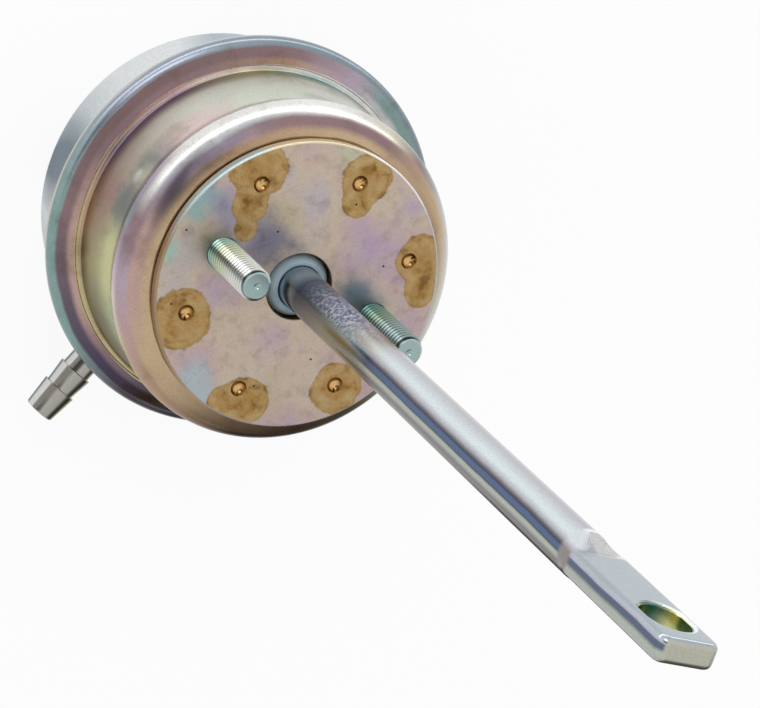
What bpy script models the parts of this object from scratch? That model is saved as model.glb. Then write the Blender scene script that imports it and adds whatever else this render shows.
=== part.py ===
"""Wastegate actuator: a pressed-steel pressure can that pushes a rod against a spring.

Boost pressure enters the rear cap through the hose barb, pushes the rolling diaphragm and its
piston forward, and so slides the rod out of the front can. The rear cap's flat face is at z = 0,
the rod runs along +Z, and the two mounting studs stand on the X axis.
"""
import math

import bpy
import bmesh
from mathutils import Matrix

MM = 0.001

# Cases: the rear cap, and the front can that is rolled over the cap's flange
CAP_RADIUS = 33.45 * MM         # outside of the rear cap's wall
CAP_CORNER = 3.0 * MM
CAP_HEIGHT = 20.9 * MM          # rear face to the underside of the rolled rim
CAN_RISE = 28.8 * MM            # underside of the rolled rim to the can's flat end
SHEET = 0.9 * MM                # steel sheet of both cases
RIM_WIDTH = 5.1 * MM            # how far the rolled rim stands out from the cap's wall
RIM_LAP = 2.25 * MM             # how far the rim is folded back under the cap's flange
FOOT_INSET = 1.15 * MM          # the can's wall at its foot is this much inside the cap's wall
FOOT_FILLET = 1.2 * MM
COIN_STEP = 0.2 * MM            # step that the rolling tool coins round the foot
RING_FALL = 0.9 * MM            # fall of the flange's face from the step to the rim
SHOULDER_STANDOUT = 1.1 * MM    # the can's shoulder is this much wider than its foot
SHOULDER_SPREAD = 9.3 * MM      # radial size of the rounded shoulder
SHOULDER_DROP = 7.8 * MM        # axial size of the rounded shoulder
WAIST_DEPTH = 1.5 * MM
BULGE_FILLET = 4.0 * MM
WAIST_FILLET = 6.0 * MM
CLEARANCE = 0.3 * MM            # gap between pieces that seat on each other

# Mounting plate, its studs and its spot welds
PLATE_RADIUS = 27.5 * MM
PLATE_THICKNESS = 2.0 * MM
PLATE_EDGE = 0.4 * MM
ROD_HOLE_RADIUS = 6.35 * MM
STUD_RADIUS = 3.0 * MM
STUD_OFFSET = 16.75 * MM        # stud axis to rod axis
STUD_LENGTH = 17.0 * MM         # above the plate
STUD_CHAMFER = 0.7 * MM
STUD_CENTRE = 0.65 * MM         # radius of the turning centre in the stud's end
STUD_HEAD_RIM = 1.2 * MM        # head radius beyond the shank
STUD_HEAD_THICKNESS = 0.9 * MM
WELD_RADIUS = 1.45 * MM         # mouth of a weld dimple
WELD_DEPTH = 1.1 * MM
WELD_INSET = 5.8 * MM           # dimple circle to the plate's edge
WELD_SPREAD = math.radians(52)  # between neighbouring dimples of one group of three
WELD_TURN = math.radians(-2.7)  # the dimples' pattern against the studs' line

# Rod with its forged eye
ROD_RADIUS = 4.0 * MM
ROD_REACH = 149.0 * MM          # plate to the eye's tip, rod drawn in
TENON_RADIUS = 3.0 * MM
RIVET_RADIUS = 4.8 * MM
RIVET_HEIGHT = 1.5 * MM
EYE_ANGLE = math.radians(9.6)   # the eye's width against the studs' line
EYE_LENGTH = 29.0 * MM          # flat part of the eye
EYE_THICKNESS = 4.2 * MM
EYE_EDGE = 1.3 * MM
EYE_TAPER = 4.0 * MM            # length over which the round bar turns into the flat
EYE_HOLE_RADIUS = 3.7 * MM
EYE_HOLE_STRETCH = 1.1 * MM     # the slot's centres are this far to each side of its middle
EYE_HOLE_CHAMFER = 0.45 * MM
EYE_SIDE_WALL = 1.05 * MM
EYE_TIP_WALL = 3.5 * MM
EYE_TIP_CORNER = 1.8 * MM

# Working parts inside the cases
STROKE = 12.0 * MM
DIAPHRAGM_THICKNESS = 0.5 * MM
BEAD_HEIGHT = 1.25 * MM
BEAD_WIDTH = 0.9 * MM
ROLL_RADIUS = 1.95 * MM         # middle of the rolled fold
ROLL_HEIGHT = 2.6 * MM          # fold's centre above the can's foot
PISTON_SHEET = 1.0 * MM
PISTON_CORNER = 2.5 * MM
RETAINER_SHEET = 1.0 * MM
RETAINER_INSET = 3.4 * MM       # retainer's edge inside the piston's wall
WASHER_RADIUS = 10.0 * MM
WASHER_THICKNESS = 1.5 * MM
SPRING_WIRE = 3.0 * MM
SPRING_TURNS = 5.5
SPRING_END_PITCH = 3.3 * MM
SEAT_SHEET = 0.7 * MM
SEAT_LIP = 2.2 * MM

# Rod guide: bush, seal and the cup that holds both
BUSH_RADIUS = 9.0 * MM
BUSH_LENGTH = 2.7 * MM          # of the bush's wide part
NOSE_GAP = 0.35 * MM            # nose to the plate's hole
NOSE_STANDOUT = 0.3 * MM        # nose above the plate
NOSE_LIP = 0.3 * MM
NOSE_CONE = 2.0 * MM
SEAL_THICKNESS = 1.9 * MM
CUP_SHEET = 0.7 * MM
CUP_FLANGE = 1.9 * MM
CUP_FILLET = 0.9 * MM

# Hose barb
BARB_ANGLE = math.radians(-106.3)
BARB_HEIGHT = 10.5 * MM
BARB_BORE = 1.6 * MM
BARB_NECK = 2.95 * MM
BARB_RADIUS = 3.5 * MM
BARB_PITCH = 4.6 * MM
BARB_TIP = 5.9 * MM
BARB_NECK_LENGTH = 6.0 * MM
BARB_COLLAR = 4.5 * MM
BARB_COLLAR_LENGTH = 1.5 * MM
BARB_FLARE = 0.8 * MM

# Levels and radii that several pieces share
SEGMENTS = 36                   # facets round the cases and the rod
INNER_SEGMENTS = 28             # facets round the pieces inside the cases
SMALL_SEGMENTS = 20
CAN_TOP = CAP_HEIGHT + CAN_RISE
PLATE_BACK = CAN_TOP + CLEARANCE
PLATE_FRONT = PLATE_BACK + PLATE_THICKNESS
END_UNDERSIDE = CAN_TOP - SHEET
RIM_RADIUS = CAP_RADIUS + RIM_WIDTH
RIM_TOP = CAP_HEIGHT + 3 * SHEET + 2 * CLEARANCE
RING_TOP = RIM_TOP + RING_FALL
FOOT_LEVEL = RING_TOP - COIN_STEP
FOOT_RADIUS = CAP_RADIUS - FOOT_INSET
FOOT_CENTRE = (FOOT_RADIUS + FOOT_FILLET, FOOT_LEVEL + FOOT_FILLET)
SHOULDER_RADIUS = FOOT_RADIUS + SHOULDER_STANDOUT
FLANGE_UNDERSIDE = CAP_HEIGHT + SHEET + CLEARANCE
RIM_BEND = 1.65 * MM
RIM_CURL = 1.05 * MM
LAP_EDGE = RIM_RADIUS - RIM_LAP
BORE_RADIUS = ROD_RADIUS + CLEARANCE
TENON_HOLE = TENON_RADIUS + CLEARANCE
RIVET_BOTTOM = SHEET + 2 * CLEARANCE
RETAINER_BOTTOM = RIVET_BOTTOM + RIVET_HEIGHT + CLEARANCE
DIAPHRAGM_MIDDLE = RETAINER_BOTTOM + RETAINER_SHEET + CLEARANCE + DIAPHRAGM_THICKNESS / 2
DIAPHRAGM_GAP = CLEARANCE + DIAPHRAGM_THICKNESS / 2
PISTON_BOTTOM = DIAPHRAGM_MIDDLE + DIAPHRAGM_GAP
WASHER_BOTTOM = PISTON_BOTTOM + PISTON_SHEET + CLEARANCE
ROD_SHOULDER = WASHER_BOTTOM + WASHER_THICKNESS + CLEARANCE
WALL_LEG = FOOT_RADIUS - SHEET - DIAPHRAGM_GAP
PISTON_LEG = WALL_LEG - 2 * ROLL_RADIUS
PISTON_RADIUS = PISTON_LEG - DIAPHRAGM_GAP
SPRING_RADIUS = PISTON_RADIUS - PISTON_SHEET - CLEARANCE - SPRING_WIRE / 2
SEAT_TOP = END_UNDERSIDE - 1.4 * CLEARANCE
SEAT_RADIUS = SPRING_RADIUS + SPRING_WIRE / 2 + CLEARANCE + SEAT_SHEET
PISTON_RIM = SEAT_TOP - SEAT_SHEET - SEAT_LIP - STROKE - 3 * MM
CUP_TOP = END_UNDERSIDE - CLEARANCE
CUP_RADIUS = BUSH_RADIUS + CLEARANCE + CUP_SHEET
EYE_TIP = PLATE_FRONT + ROD_REACH
EYE_START = EYE_TIP - EYE_LENGTH
EYE_HALF_WIDTH = EYE_HOLE_RADIUS + EYE_HOLE_CHAMFER + EYE_SIDE_WALL
EYE_HOLE_LEVEL = EYE_TIP - EYE_TIP_WALL - EYE_HOLE_RADIUS - EYE_HOLE_STRETCH
STUD_HOLE = STUD_RADIUS + CLEARANCE


def start_scene():
    """Empty the scene and make one collection for the pieces and one for the cutters."""
    for old in list(bpy.data.objects):
        bpy.data.objects.remove(old, do_unlink=True)
    pieces = bpy.data.collections.new("wastegate_actuator")
    cutters = bpy.data.collections.new("cutters")
    bpy.context.scene.collection.children.link(pieces)
    bpy.context.scene.collection.children.link(cutters)
    return pieces, cutters


PIECES, CUTTERS = start_scene()


def body_empty(name):
    """An empty on the rod's axis that carries the pieces of one moving body."""
    empty = bpy.data.objects.new(name, None)
    empty.empty_display_size = CAP_RADIUS
    PIECES.objects.link(empty)
    return empty


CANISTER = body_empty("canister_body")
ROD_BODY = body_empty("rod_body")


def metal(name, colour, roughness, metallic=1.0):
    """A Principled material: sRGB-like colour, roughness and metallic value."""
    material = bpy.data.materials.new(name)
    material.use_nodes = True
    shader = material.node_tree.nodes["Principled BSDF"]
    shader.inputs["Base Color"].default_value = (*colour, 1.0)
    shader.inputs["Roughness"].default_value = roughness
    shader.inputs["Metallic"].default_value = metallic
    material.diffuse_color = (*colour, 1.0)
    return material


def piece(name, mesh, material, parent):
    """One named object of the actuator, parented to the body that carries it."""
    obj = bpy.data.objects.new(name, mesh)
    mesh.materials.append(material)
    PIECES.objects.link(obj)
    obj.parent = parent
    return obj


def arc(centre, radii, start, end, steps):
    """Points on an arc about a centre; radii is one radius, or one along X and one along Z."""
    across, along = radii if isinstance(radii, tuple) else (radii, radii)
    points = []
    for i in range(steps + 1):
        angle = math.radians(start + (end - start) * i / steps)
        points.append((centre[0] + across * math.cos(angle), centre[1] + along * math.sin(angle)))
    return points


def profile_mesh(name, points, closed):
    """A chain of edges in the XZ plane, closed into a loop where the section is solid."""
    mesh = bpy.data.meshes.new(name)
    edges = [(i, i + 1) for i in range(len(points) - 1)]
    if closed:
        edges.append((len(points) - 1, 0))
    mesh.from_pydata([(x, 0.0, z) for x, z in points], edges, [])
    return mesh


def add_screw(obj, segments=SEGMENTS):
    """Turn the object's profile about its Z axis."""
    screw = obj.modifiers.new("turn", "SCREW")
    screw.angle = 2 * math.pi
    screw.axis = "Z"
    screw.steps = segments
    screw.render_steps = segments
    screw.use_merge_vertices = True
    screw.merge_threshold = 0.000001
    screw.use_smooth_shade = True


def turned(name, points, material, parent, closed=True, segments=SEGMENTS):
    """A solid turned from a section whose outer side runs from top to bottom."""
    obj = piece(name, profile_mesh(name, points, closed), material, parent)
    add_screw(obj, segments)
    return obj


def pressed(name, points, sheet, material, parent, segments=SEGMENTS):
    """A sheet-metal shell: the turned outer surface, thickened inwards by the sheet."""
    obj = turned(name, points, material, parent, closed=False, segments=segments)
    wall = obj.modifiers.new("sheet", "SOLIDIFY")
    wall.thickness = sheet
    wall.offset = -1.0
    wall.use_even_offset = True
    return obj


def cutter(name, mesh, matrix):
    """A hidden object that is only used to cut others."""
    obj = bpy.data.objects.new(name, mesh)
    obj.matrix_world = matrix
    obj.hide_render = True
    obj.display_type = "WIRE"
    CUTTERS.objects.link(obj)
    return obj


def cut(obj, tool):
    """Subtract a cutter from an object."""
    boolean = obj.modifiers.new("cut_" + tool.name, "BOOLEAN")
    boolean.operation = "DIFFERENCE"
    boolean.solver = "EXACT"
    boolean.object = tool


def cylinder_mesh(name, radius, depth, segments=SMALL_SEGMENTS):
    """A closed cylinder about Z, centred on its origin."""
    shape = bmesh.new()
    bmesh.ops.create_cone(shape, cap_ends=True, segments=segments, radius1=radius,
                          radius2=radius, depth=depth)
    mesh = bpy.data.meshes.new(name)
    shape.to_mesh(mesh)
    shape.free()
    return mesh


def make_rear_cap():
    """The pressure side's cup: flat face, rounded corner, wall, bead groove and flange."""
    groove_floor = FLANGE_UNDERSIDE - 1.0 * MM
    groove_end = LAP_EDGE - 0.3 * MM
    neck = 0.65 * MM
    flange_edge = RIM_RADIUS - SHEET - 2 * CLEARANCE
    corner = (CAP_RADIUS - CAP_CORNER, CAP_CORNER)
    points = [(flange_edge, FLANGE_UNDERSIDE), (groove_end, FLANGE_UNDERSIDE)]
    points += [(groove_end - 0.4 * MM, groove_floor)]
    points += arc((CAP_RADIUS + neck, groove_floor - neck), neck, 90, 180, 3)
    points += arc(corner, CAP_CORNER, 0, -90, 4)
    points += [(0.0, 0.0)]
    cap = pressed("rear_cap", points, SHEET, metal("clear_zinc_steel", (0.62, 0.68, 0.70), 0.28),
                  CANISTER)
    place = Matrix.Translation((0, 0, BARB_HEIGHT)) @ Matrix.Rotation(BARB_ANGLE, 4, "Z")
    place = place @ Matrix.Translation((CAP_RADIUS, 0, 0)) @ Matrix.Rotation(math.pi / 2, 4, "Y")
    hole = cutter("barb_hole", cylinder_mesh("barb_hole", BARB_NECK + CLEARANCE, 12 * MM), place)
    cut(cap, hole)
    return cap


def make_front_can():
    """The atmospheric side's can: flat end, round shoulder, waist, foot, and the rolled rim."""
    waist_radius = SHOULDER_RADIUS - WAIST_DEPTH
    sweep = math.degrees(math.acos(1 - WAIST_DEPTH / (BULGE_FILLET + WAIST_FILLET)))
    shoulder_level = CAN_TOP - SHOULDER_DROP
    waist_level = shoulder_level - (BULGE_FILLET + WAIST_FILLET) * math.sin(math.radians(sweep))
    end_flat = SHOULDER_RADIUS - SHOULDER_SPREAD
    rim_level = RIM_TOP - 2.25 * MM
    points = [(ROD_HOLE_RADIUS, CAN_TOP)]
    points += arc((end_flat, shoulder_level), (SHOULDER_SPREAD, SHOULDER_DROP), 90, 0, 6)
    points += arc((SHOULDER_RADIUS - BULGE_FILLET, shoulder_level), BULGE_FILLET, 0, -sweep, 2)[1:]
    points += arc((waist_radius + WAIST_FILLET, waist_level), WAIST_FILLET, 180 - sweep, 180, 3)[1:]
    points += arc(FOOT_CENTRE, FOOT_FILLET, 180, 270, 3)
    points += [(FOOT_CENTRE[0] + 0.4 * MM, RING_TOP)]
    points += arc((RIM_RADIUS - RIM_BEND, rim_level), (RIM_BEND, RIM_TOP - rim_level), 90, 0, 3)
    points += arc((RIM_RADIUS - RIM_CURL, CAP_HEIGHT + RIM_CURL), RIM_CURL, 0, -90, 3)[1:]
    points += [(LAP_EDGE, CAP_HEIGHT)]
    return pressed("front_can", points, SHEET,
                   metal("yellow_zinc_steel", (0.62, 0.55, 0.48), 0.26), CANISTER)


def make_mounting_plate():
    """Round plate spot-welded to the can's end, with counterbores for the studs' heads."""
    edge = PLATE_EDGE
    points = [(ROD_HOLE_RADIUS, PLATE_BACK), (ROD_HOLE_RADIUS, PLATE_FRONT)]
    points += arc((PLATE_RADIUS - edge, PLATE_FRONT - edge), edge, 90, 0, 2)
    points += [(PLATE_RADIUS, PLATE_BACK)]
    plate = turned("mounting_plate", points,
                   metal("yellow_zinc_plate", (0.66, 0.60, 0.58), 0.35), CANISTER)
    ball = (WELD_RADIUS ** 2 + WELD_DEPTH ** 2) / (2 * WELD_DEPTH)
    shape = bmesh.new()
    bmesh.ops.create_uvsphere(shape, u_segments=10, v_segments=8, radius=ball)
    dimple = bpy.data.meshes.new("weld_dimple")
    shape.to_mesh(dimple)
    shape.free()
    circle = PLATE_RADIUS - WELD_INSET
    for side in (90, -90):
        for step in (-1, 0, 1):
            angle = math.radians(side) + step * WELD_SPREAD + WELD_TURN
            level = PLATE_FRONT - WELD_DEPTH + ball
            place = Matrix.Translation((circle * math.cos(angle), circle * math.sin(angle), level))
            cut(plate, cutter(f"weld_{side}_{step}", dimple, place))
    head_pocket = STUD_HEAD_THICKNESS + CLEARANCE
    for name, side in (("left", -1), ("right", 1)):
        bore = cylinder_mesh("stud_hole", STUD_HOLE, 4 * PLATE_THICKNESS)
        place = Matrix.Translation((side * STUD_OFFSET, 0, PLATE_FRONT))
        cut(plate, cutter(f"stud_hole_{name}", bore, place))
        pocket = cylinder_mesh("head_pocket", STUD_HOLE + STUD_HEAD_RIM, 2 * head_pocket)
        place = Matrix.Translation((side * STUD_OFFSET, 0, PLATE_BACK))
        cut(plate, cutter(f"head_pocket_{name}", pocket, place))
    return plate


def make_stud(name, side):
    """M6 stud, its flat head trapped between the plate and the can; the thread is left plain."""
    length = PLATE_FRONT + STUD_LENGTH - PLATE_BACK
    head = STUD_RADIUS + STUD_HEAD_RIM
    points = [(0.0, length - STUD_CENTRE), (STUD_CENTRE, length)]
    points += [(STUD_RADIUS - STUD_CHAMFER, length), (STUD_RADIUS, length - STUD_CHAMFER)]
    points += [(STUD_RADIUS, STUD_HEAD_THICKNESS), (head, STUD_HEAD_THICKNESS), (head, 0.0)]
    points += [(0.0, 0.0)]
    stud = turned(name, points, metal(name + "_steel", (0.66, 0.72, 0.68), 0.3), CANISTER,
                  closed=False, segments=SMALL_SEGMENTS)
    stud.location = (side * STUD_OFFSET, 0, PLATE_BACK)
    return stud


def make_guide_bush():
    """Bush that guides the rod; its coned nose stands in the plate's hole."""
    nose = ROD_HOLE_RADIUS - NOSE_GAP
    nose_top = PLATE_FRONT + NOSE_STANDOUT
    top = END_UNDERSIDE - CLEARANCE
    points = [(BORE_RADIUS, nose_top), (BORE_RADIUS + NOSE_LIP, nose_top)]
    points += [(nose, nose_top - NOSE_CONE), (nose, top), (BUSH_RADIUS, top)]
    points += [(BUSH_RADIUS, top - BUSH_LENGTH), (BORE_RADIUS, top - BUSH_LENGTH)]
    return turned("guide_bush", points, metal("grey_bush", (0.38, 0.43, 0.46), 0.5, 0.2), CANISTER,
                  segments=INNER_SEGMENTS)


def make_rod_seal():
    """Ring seal behind the bush, with a lip groove on its rear face."""
    top = END_UNDERSIDE - 2 * CLEARANCE - BUSH_LENGTH
    bottom = top - SEAL_THICKNESS
    groove = (BORE_RADIUS + BUSH_RADIUS) / 2
    half = (BUSH_RADIUS - BORE_RADIUS) / 5
    points = [(BORE_RADIUS, top), (BUSH_RADIUS, top), (BUSH_RADIUS, bottom)]
    points += [(groove + half, bottom), (groove, bottom + SEAL_THICKNESS / 2)]
    points += [(groove - half, bottom), (BORE_RADIUS, bottom)]
    return turned("rod_seal", points, metal("seal_rubber", (0.05, 0.05, 0.05), 0.7, 0.0), CANISTER,
                  segments=SMALL_SEGMENTS)


def make_bush_retainer():
    """Pressed cup, spot-welded inside the can's end, that holds the bush and the seal."""
    floor = END_UNDERSIDE - 3 * CLEARANCE - BUSH_LENGTH - SEAL_THICKNESS - CUP_SHEET
    flange = CUP_TOP - CUP_SHEET
    points = [(CUP_RADIUS + CUP_FLANGE, flange)]
    points += arc((CUP_RADIUS + CUP_FILLET, flange - CUP_FILLET), CUP_FILLET, 90, 180, 2)
    points += arc((CUP_RADIUS - CUP_FILLET, floor + CUP_FILLET), CUP_FILLET, 0, -90, 2)
    points += [(BORE_RADIUS + 2 * CLEARANCE, floor)]
    return pressed("bush_retainer", points, CUP_SHEET,
                   metal("retainer_steel", (0.6, 0.6, 0.58), 0.4), CANISTER,
                   segments=SMALL_SEGMENTS)


def make_spring_seat():
    """Pressed ring that centres the spring's fixed end at the can's end."""
    bend = 1.0 * MM
    points = [(SPRING_RADIUS - SPRING_WIRE, SEAT_TOP)]
    points += arc((SEAT_RADIUS - bend, SEAT_TOP - bend), bend, 90, 0, 2)
    points += [(SEAT_RADIUS, SEAT_TOP - SEAT_SHEET - SEAT_LIP)]
    return pressed("spring_seat", points, SEAT_SHEET, metal("seat_steel", (0.55, 0.55, 0.53), 0.4),
                   CANISTER, segments=INNER_SEGMENTS)


def make_spring():
    """Coil spring with a closed turn at each end, between the piston and the spring seat."""
    bottom = PISTON_BOTTOM + PISTON_SHEET + CLEARANCE + SPRING_WIRE / 2
    top = SEAT_TOP - SEAT_SHEET - CLEARANCE - SPRING_WIRE / 2
    open_pitch = (top - bottom - 2 * SPRING_END_PITCH) / (SPRING_TURNS - 2)
    steps_per_turn = 14
    count = int(SPRING_TURNS * steps_per_turn) + 1
    curve = bpy.data.curves.new("spring", "CURVE")
    curve.dimensions = "3D"
    curve.bevel_depth = SPRING_WIRE / 2
    curve.bevel_resolution = 2
    curve.use_fill_caps = True
    spline = curve.splines.new("POLY")
    spline.points.add(count - 1)
    for i, point in enumerate(spline.points):
        turn = i / steps_per_turn
        closed_turns = min(turn, 1.0) + max(turn - (SPRING_TURNS - 1), 0.0)
        level = bottom + closed_turns * SPRING_END_PITCH + (turn - closed_turns) * open_pitch
        angle = 2 * math.pi * turn
        point.co = (SPRING_RADIUS * math.cos(angle), SPRING_RADIUS * math.sin(angle), level, 1.0)
    spring = bpy.data.objects.new("spring", curve)
    curve.materials.append(metal("spring_steel", (0.35, 0.36, 0.38), 0.35))
    PIECES.objects.link(spring)
    spring.parent = CANISTER
    return spring


def make_piston():
    """Pressed cup that the spring stands in and the diaphragm rolls along."""
    corner = (PISTON_RADIUS - PISTON_CORNER, PISTON_BOTTOM + PISTON_CORNER)
    points = [(PISTON_RADIUS, PISTON_RIM)]
    points += arc(corner, PISTON_CORNER, 0, -90, 3)
    points += [(TENON_HOLE, PISTON_BOTTOM)]
    return pressed("piston", points, PISTON_SHEET, metal("piston_steel", (0.6, 0.6, 0.62), 0.35),
                   ROD_BODY, segments=INNER_SEGMENTS)


def make_piston_washer():
    """Thick washer between the rod's shoulder and the piston."""
    top = WASHER_BOTTOM + WASHER_THICKNESS
    points = [(TENON_HOLE, top), (WASHER_RADIUS, top), (WASHER_RADIUS, WASHER_BOTTOM)]
    points += [(TENON_HOLE, WASHER_BOTTOM)]
    return turned("piston_washer", points, metal("washer_steel", (0.6, 0.6, 0.6), 0.35), ROD_BODY,
                  segments=SMALL_SEGMENTS)


def diaphragm_side(offset):
    """One face of the diaphragm from its centre hole to its bead.

    A positive offset is the pressure side: below the piston, outside its wall, inside the fold.
    """
    corner = (PISTON_RADIUS - PISTON_CORNER, PISTON_BOTTOM + PISTON_CORNER)
    fold = (PISTON_LEG + ROLL_RADIUS, FOOT_LEVEL + ROLL_HEIGHT)
    points = [(TENON_HOLE, DIAPHRAGM_MIDDLE - offset)]
    points += arc(corner, PISTON_CORNER + DIAPHRAGM_GAP + offset, -90, 0, 3)
    points += arc(fold, ROLL_RADIUS - offset, 180, 0, 5)
    points += arc(FOOT_CENTRE, FOOT_FILLET + SHEET + DIAPHRAGM_GAP + offset, 180, 270, 3)
    return points


def make_diaphragm():
    """Rolling diaphragm: flat centre, long leg on the piston, one fold, and a clamped bead."""
    half = DIAPHRAGM_THICKNESS / 2
    air_side = diaphragm_side(-half)
    pressure_side = diaphragm_side(half)
    bead_start = FOOT_CENTRE[0] + 0.4 * MM
    bead_bottom = FLANGE_UNDERSIDE - 1.0 * MM + SHEET + CLEARANCE
    bead_top = bead_bottom + BEAD_HEIGHT
    points = air_side + [(bead_start, bead_top), (bead_start + BEAD_WIDTH, bead_top)]
    points += [(bead_start + BEAD_WIDTH, bead_bottom), (bead_start, bead_bottom)]
    points += pressure_side[::-1]
    return turned("diaphragm", points, metal("diaphragm_rubber", (0.08, 0.08, 0.08), 0.8, 0.0),
                  CANISTER, segments=INNER_SEGMENTS)


def make_diaphragm_retainer():
    """Dished plate that clamps the diaphragm's centre from the pressure side."""
    edge = PISTON_RADIUS - RETAINER_INSET
    dish = RETAINER_SHEET / 2
    top = RETAINER_BOTTOM + RETAINER_SHEET
    points = [(TENON_HOLE, top), (edge - dish, top), (edge, top - dish), (edge, RETAINER_BOTTOM)]
    points += [(TENON_HOLE, RETAINER_BOTTOM)]
    return turned("diaphragm_retainer", points, metal("plate_steel", (0.6, 0.6, 0.58), 0.4),
                  ROD_BODY, segments=INNER_SEGMENTS)


def round_section(radius, count):
    """Points round a circle, starting half a step past the eye's width axis."""
    angles = [2 * math.pi * (i + 0.5) / count for i in range(count)]
    return [(radius * math.cos(a), radius * math.sin(a)) for a in angles]


def flat_section(half_width, half_thickness, edge, count):
    """Points round a bar with rounded edges, in step with the points of round_section."""
    corner_steps = 4
    long_points = count // 2 - 2 * (corner_steps + 1) - 2
    upper = [(half_width, (half_thickness - edge) / 3)]
    upper += arc((half_width - edge, half_thickness - edge), edge, 0, 90, corner_steps)
    run = 2 * (half_width - edge)
    for i in range(long_points):
        upper.append((half_width - edge - run * (i + 1) / (long_points + 1), half_thickness))
    upper += arc((edge - half_width, half_thickness - edge), edge, 90, 180, corner_steps)
    upper.append((-half_width, (half_thickness - edge) / 3))
    return upper + [(-x, -y) for x, y in upper]


def blend(first, second, share):
    """A section part of the way from one outline to another."""
    return [(a[0] + (b[0] - a[0]) * share, a[1] + (b[1] - a[1]) * share)
            for a, b in zip(first, second)]


def make_rod():
    """One-piece rod: peened head, tenon, shoulder, round bar, and the flattened eye."""
    count = SEGMENTS
    bar = round_section(ROD_RADIUS, count)
    eye = flat_section(EYE_HALF_WIDTH, EYE_THICKNESS / 2, EYE_EDGE, count)
    rivet_top = RIVET_BOTTOM + RIVET_HEIGHT
    rivet_edge = RIVET_HEIGHT / 2
    rings = [(RIVET_BOTTOM, round_section(RIVET_RADIUS - rivet_edge, count)),
             (RIVET_BOTTOM + rivet_edge, round_section(RIVET_RADIUS, count)),
             (rivet_top, round_section(RIVET_RADIUS, count)),
             (rivet_top, round_section(TENON_RADIUS, count)),
             (ROD_SHOULDER, round_section(TENON_RADIUS, count)),
             (ROD_SHOULDER, bar)]
    for along, share in ((0.0, 0.0), (0.2, 0.12), (0.5, 0.45), (0.8, 0.85), (1.0, 1.0)):
        rings.append((EYE_START - EYE_TAPER * (1 - along), blend(bar, eye, share)))
    for angle in (0, 30, 60, 90):
        drop = EYE_TIP_CORNER * (1 - math.sin(math.radians(angle)))
        narrow = EYE_TIP_CORNER * (1 - math.cos(math.radians(angle)))
        tip = flat_section(EYE_HALF_WIDTH - narrow, EYE_THICKNESS / 2, EYE_EDGE, count)
        rings.append((EYE_TIP - drop, tip))
    shape = bmesh.new()
    loops = [[shape.verts.new((x, y, z)) for x, y in outline] for z, outline in rings]
    for lower, upper in zip(loops, loops[1:]):
        for i in range(count):
            j = (i + 1) % count
            shape.faces.new((lower[i], lower[j], upper[j], upper[i]))
    shape.faces.new(loops[0][::-1])
    shape.faces.new(loops[-1])
    mesh = bpy.data.meshes.new("rod")
    shape.to_mesh(mesh)
    shape.free()
    rod = piece("rod", mesh, metal("rod_steel", (0.66, 0.70, 0.72), 0.2), ROD_BODY)
    rod.rotation_euler = (0, 0, EYE_ANGLE)
    cut(rod, eye_hole_cutter())
    return rod


def slot_outline(radius, stretch, steps=8):
    """A slot's outline: two half circles, drawn apart along the rod."""
    upper = arc((0.0, stretch), radius, 0, 180, steps)
    lower = arc((0.0, -stretch), radius, 180, 360, steps)
    return upper + lower


def eye_hole_cutter():
    """Slotted hole through the eye, flared at both faces so that it leaves a chamfer."""
    past = 1.0 * MM
    half = EYE_THICKNESS / 2
    wide = slot_outline(EYE_HOLE_RADIUS + EYE_HOLE_CHAMFER + past, EYE_HOLE_STRETCH)
    narrow = slot_outline(EYE_HOLE_RADIUS, EYE_HOLE_STRETCH)
    levels = [(-half - past, wide), (-half + EYE_HOLE_CHAMFER, narrow),
              (half - EYE_HOLE_CHAMFER, narrow), (half + past, wide)]
    shape = bmesh.new()
    loops = [[shape.verts.new((x, -depth, z)) for x, z in outline] for depth, outline in levels]
    count = len(narrow)
    for first, second in zip(loops, loops[1:]):
        for i in range(count):
            j = (i + 1) % count
            shape.faces.new((first[i], first[j], second[j], second[i]))
    shape.faces.new(loops[0][::-1])
    shape.faces.new(loops[-1])
    mesh = bpy.data.meshes.new("eye_hole")
    shape.to_mesh(mesh)
    shape.free()
    place = Matrix.Rotation(EYE_ANGLE, 4, "Z") @ Matrix.Translation((0, 0, EYE_HOLE_LEVEL))
    return cutter("eye_hole", mesh, place)


def make_hose_barb():
    """Turned fitting, flared inside the cap's wall, with a collar, a neck and two barbs."""
    inner_wall = CAP_RADIUS - SHEET
    flare_radius = BARB_NECK + BARB_FLARE
    wall_sag = inner_wall - math.sqrt(inner_wall ** 2 - flare_radius ** 2)
    facet_sag = inner_wall * (1 - math.cos(math.pi / SEGMENTS))
    flare_top = inner_wall - wall_sag - facet_sag - CLEARANCE
    collar = CAP_RADIUS + CLEARANCE
    neck_end = collar + BARB_COLLAR_LENGTH + BARB_NECK_LENGTH
    tip = neck_end + BARB_PITCH + BARB_TIP
    points = [(BARB_BORE, tip), (BARB_NECK, tip)]
    points += [(BARB_RADIUS, tip - BARB_TIP), (BARB_NECK, tip - BARB_TIP)]
    points += [(BARB_RADIUS, neck_end), (BARB_NECK, neck_end)]
    points += [(BARB_NECK, collar + BARB_COLLAR_LENGTH), (BARB_COLLAR, collar + BARB_COLLAR_LENGTH)]
    points += [(BARB_COLLAR, collar), (BARB_NECK, collar), (BARB_NECK, flare_top)]
    points += [(flare_radius, flare_top), (flare_radius, flare_top - BARB_FLARE)]
    points += [(BARB_BORE, flare_top - BARB_FLARE)]
    barb = turned("hose_barb", points, metal("nickel_brass", (0.7, 0.71, 0.7), 0.18), CANISTER,
                  segments=SMALL_SEGMENTS)
    barb.location = (0, 0, BARB_HEIGHT)
    barb.rotation_euler = (0, math.pi / 2, BARB_ANGLE)
    return barb


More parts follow.
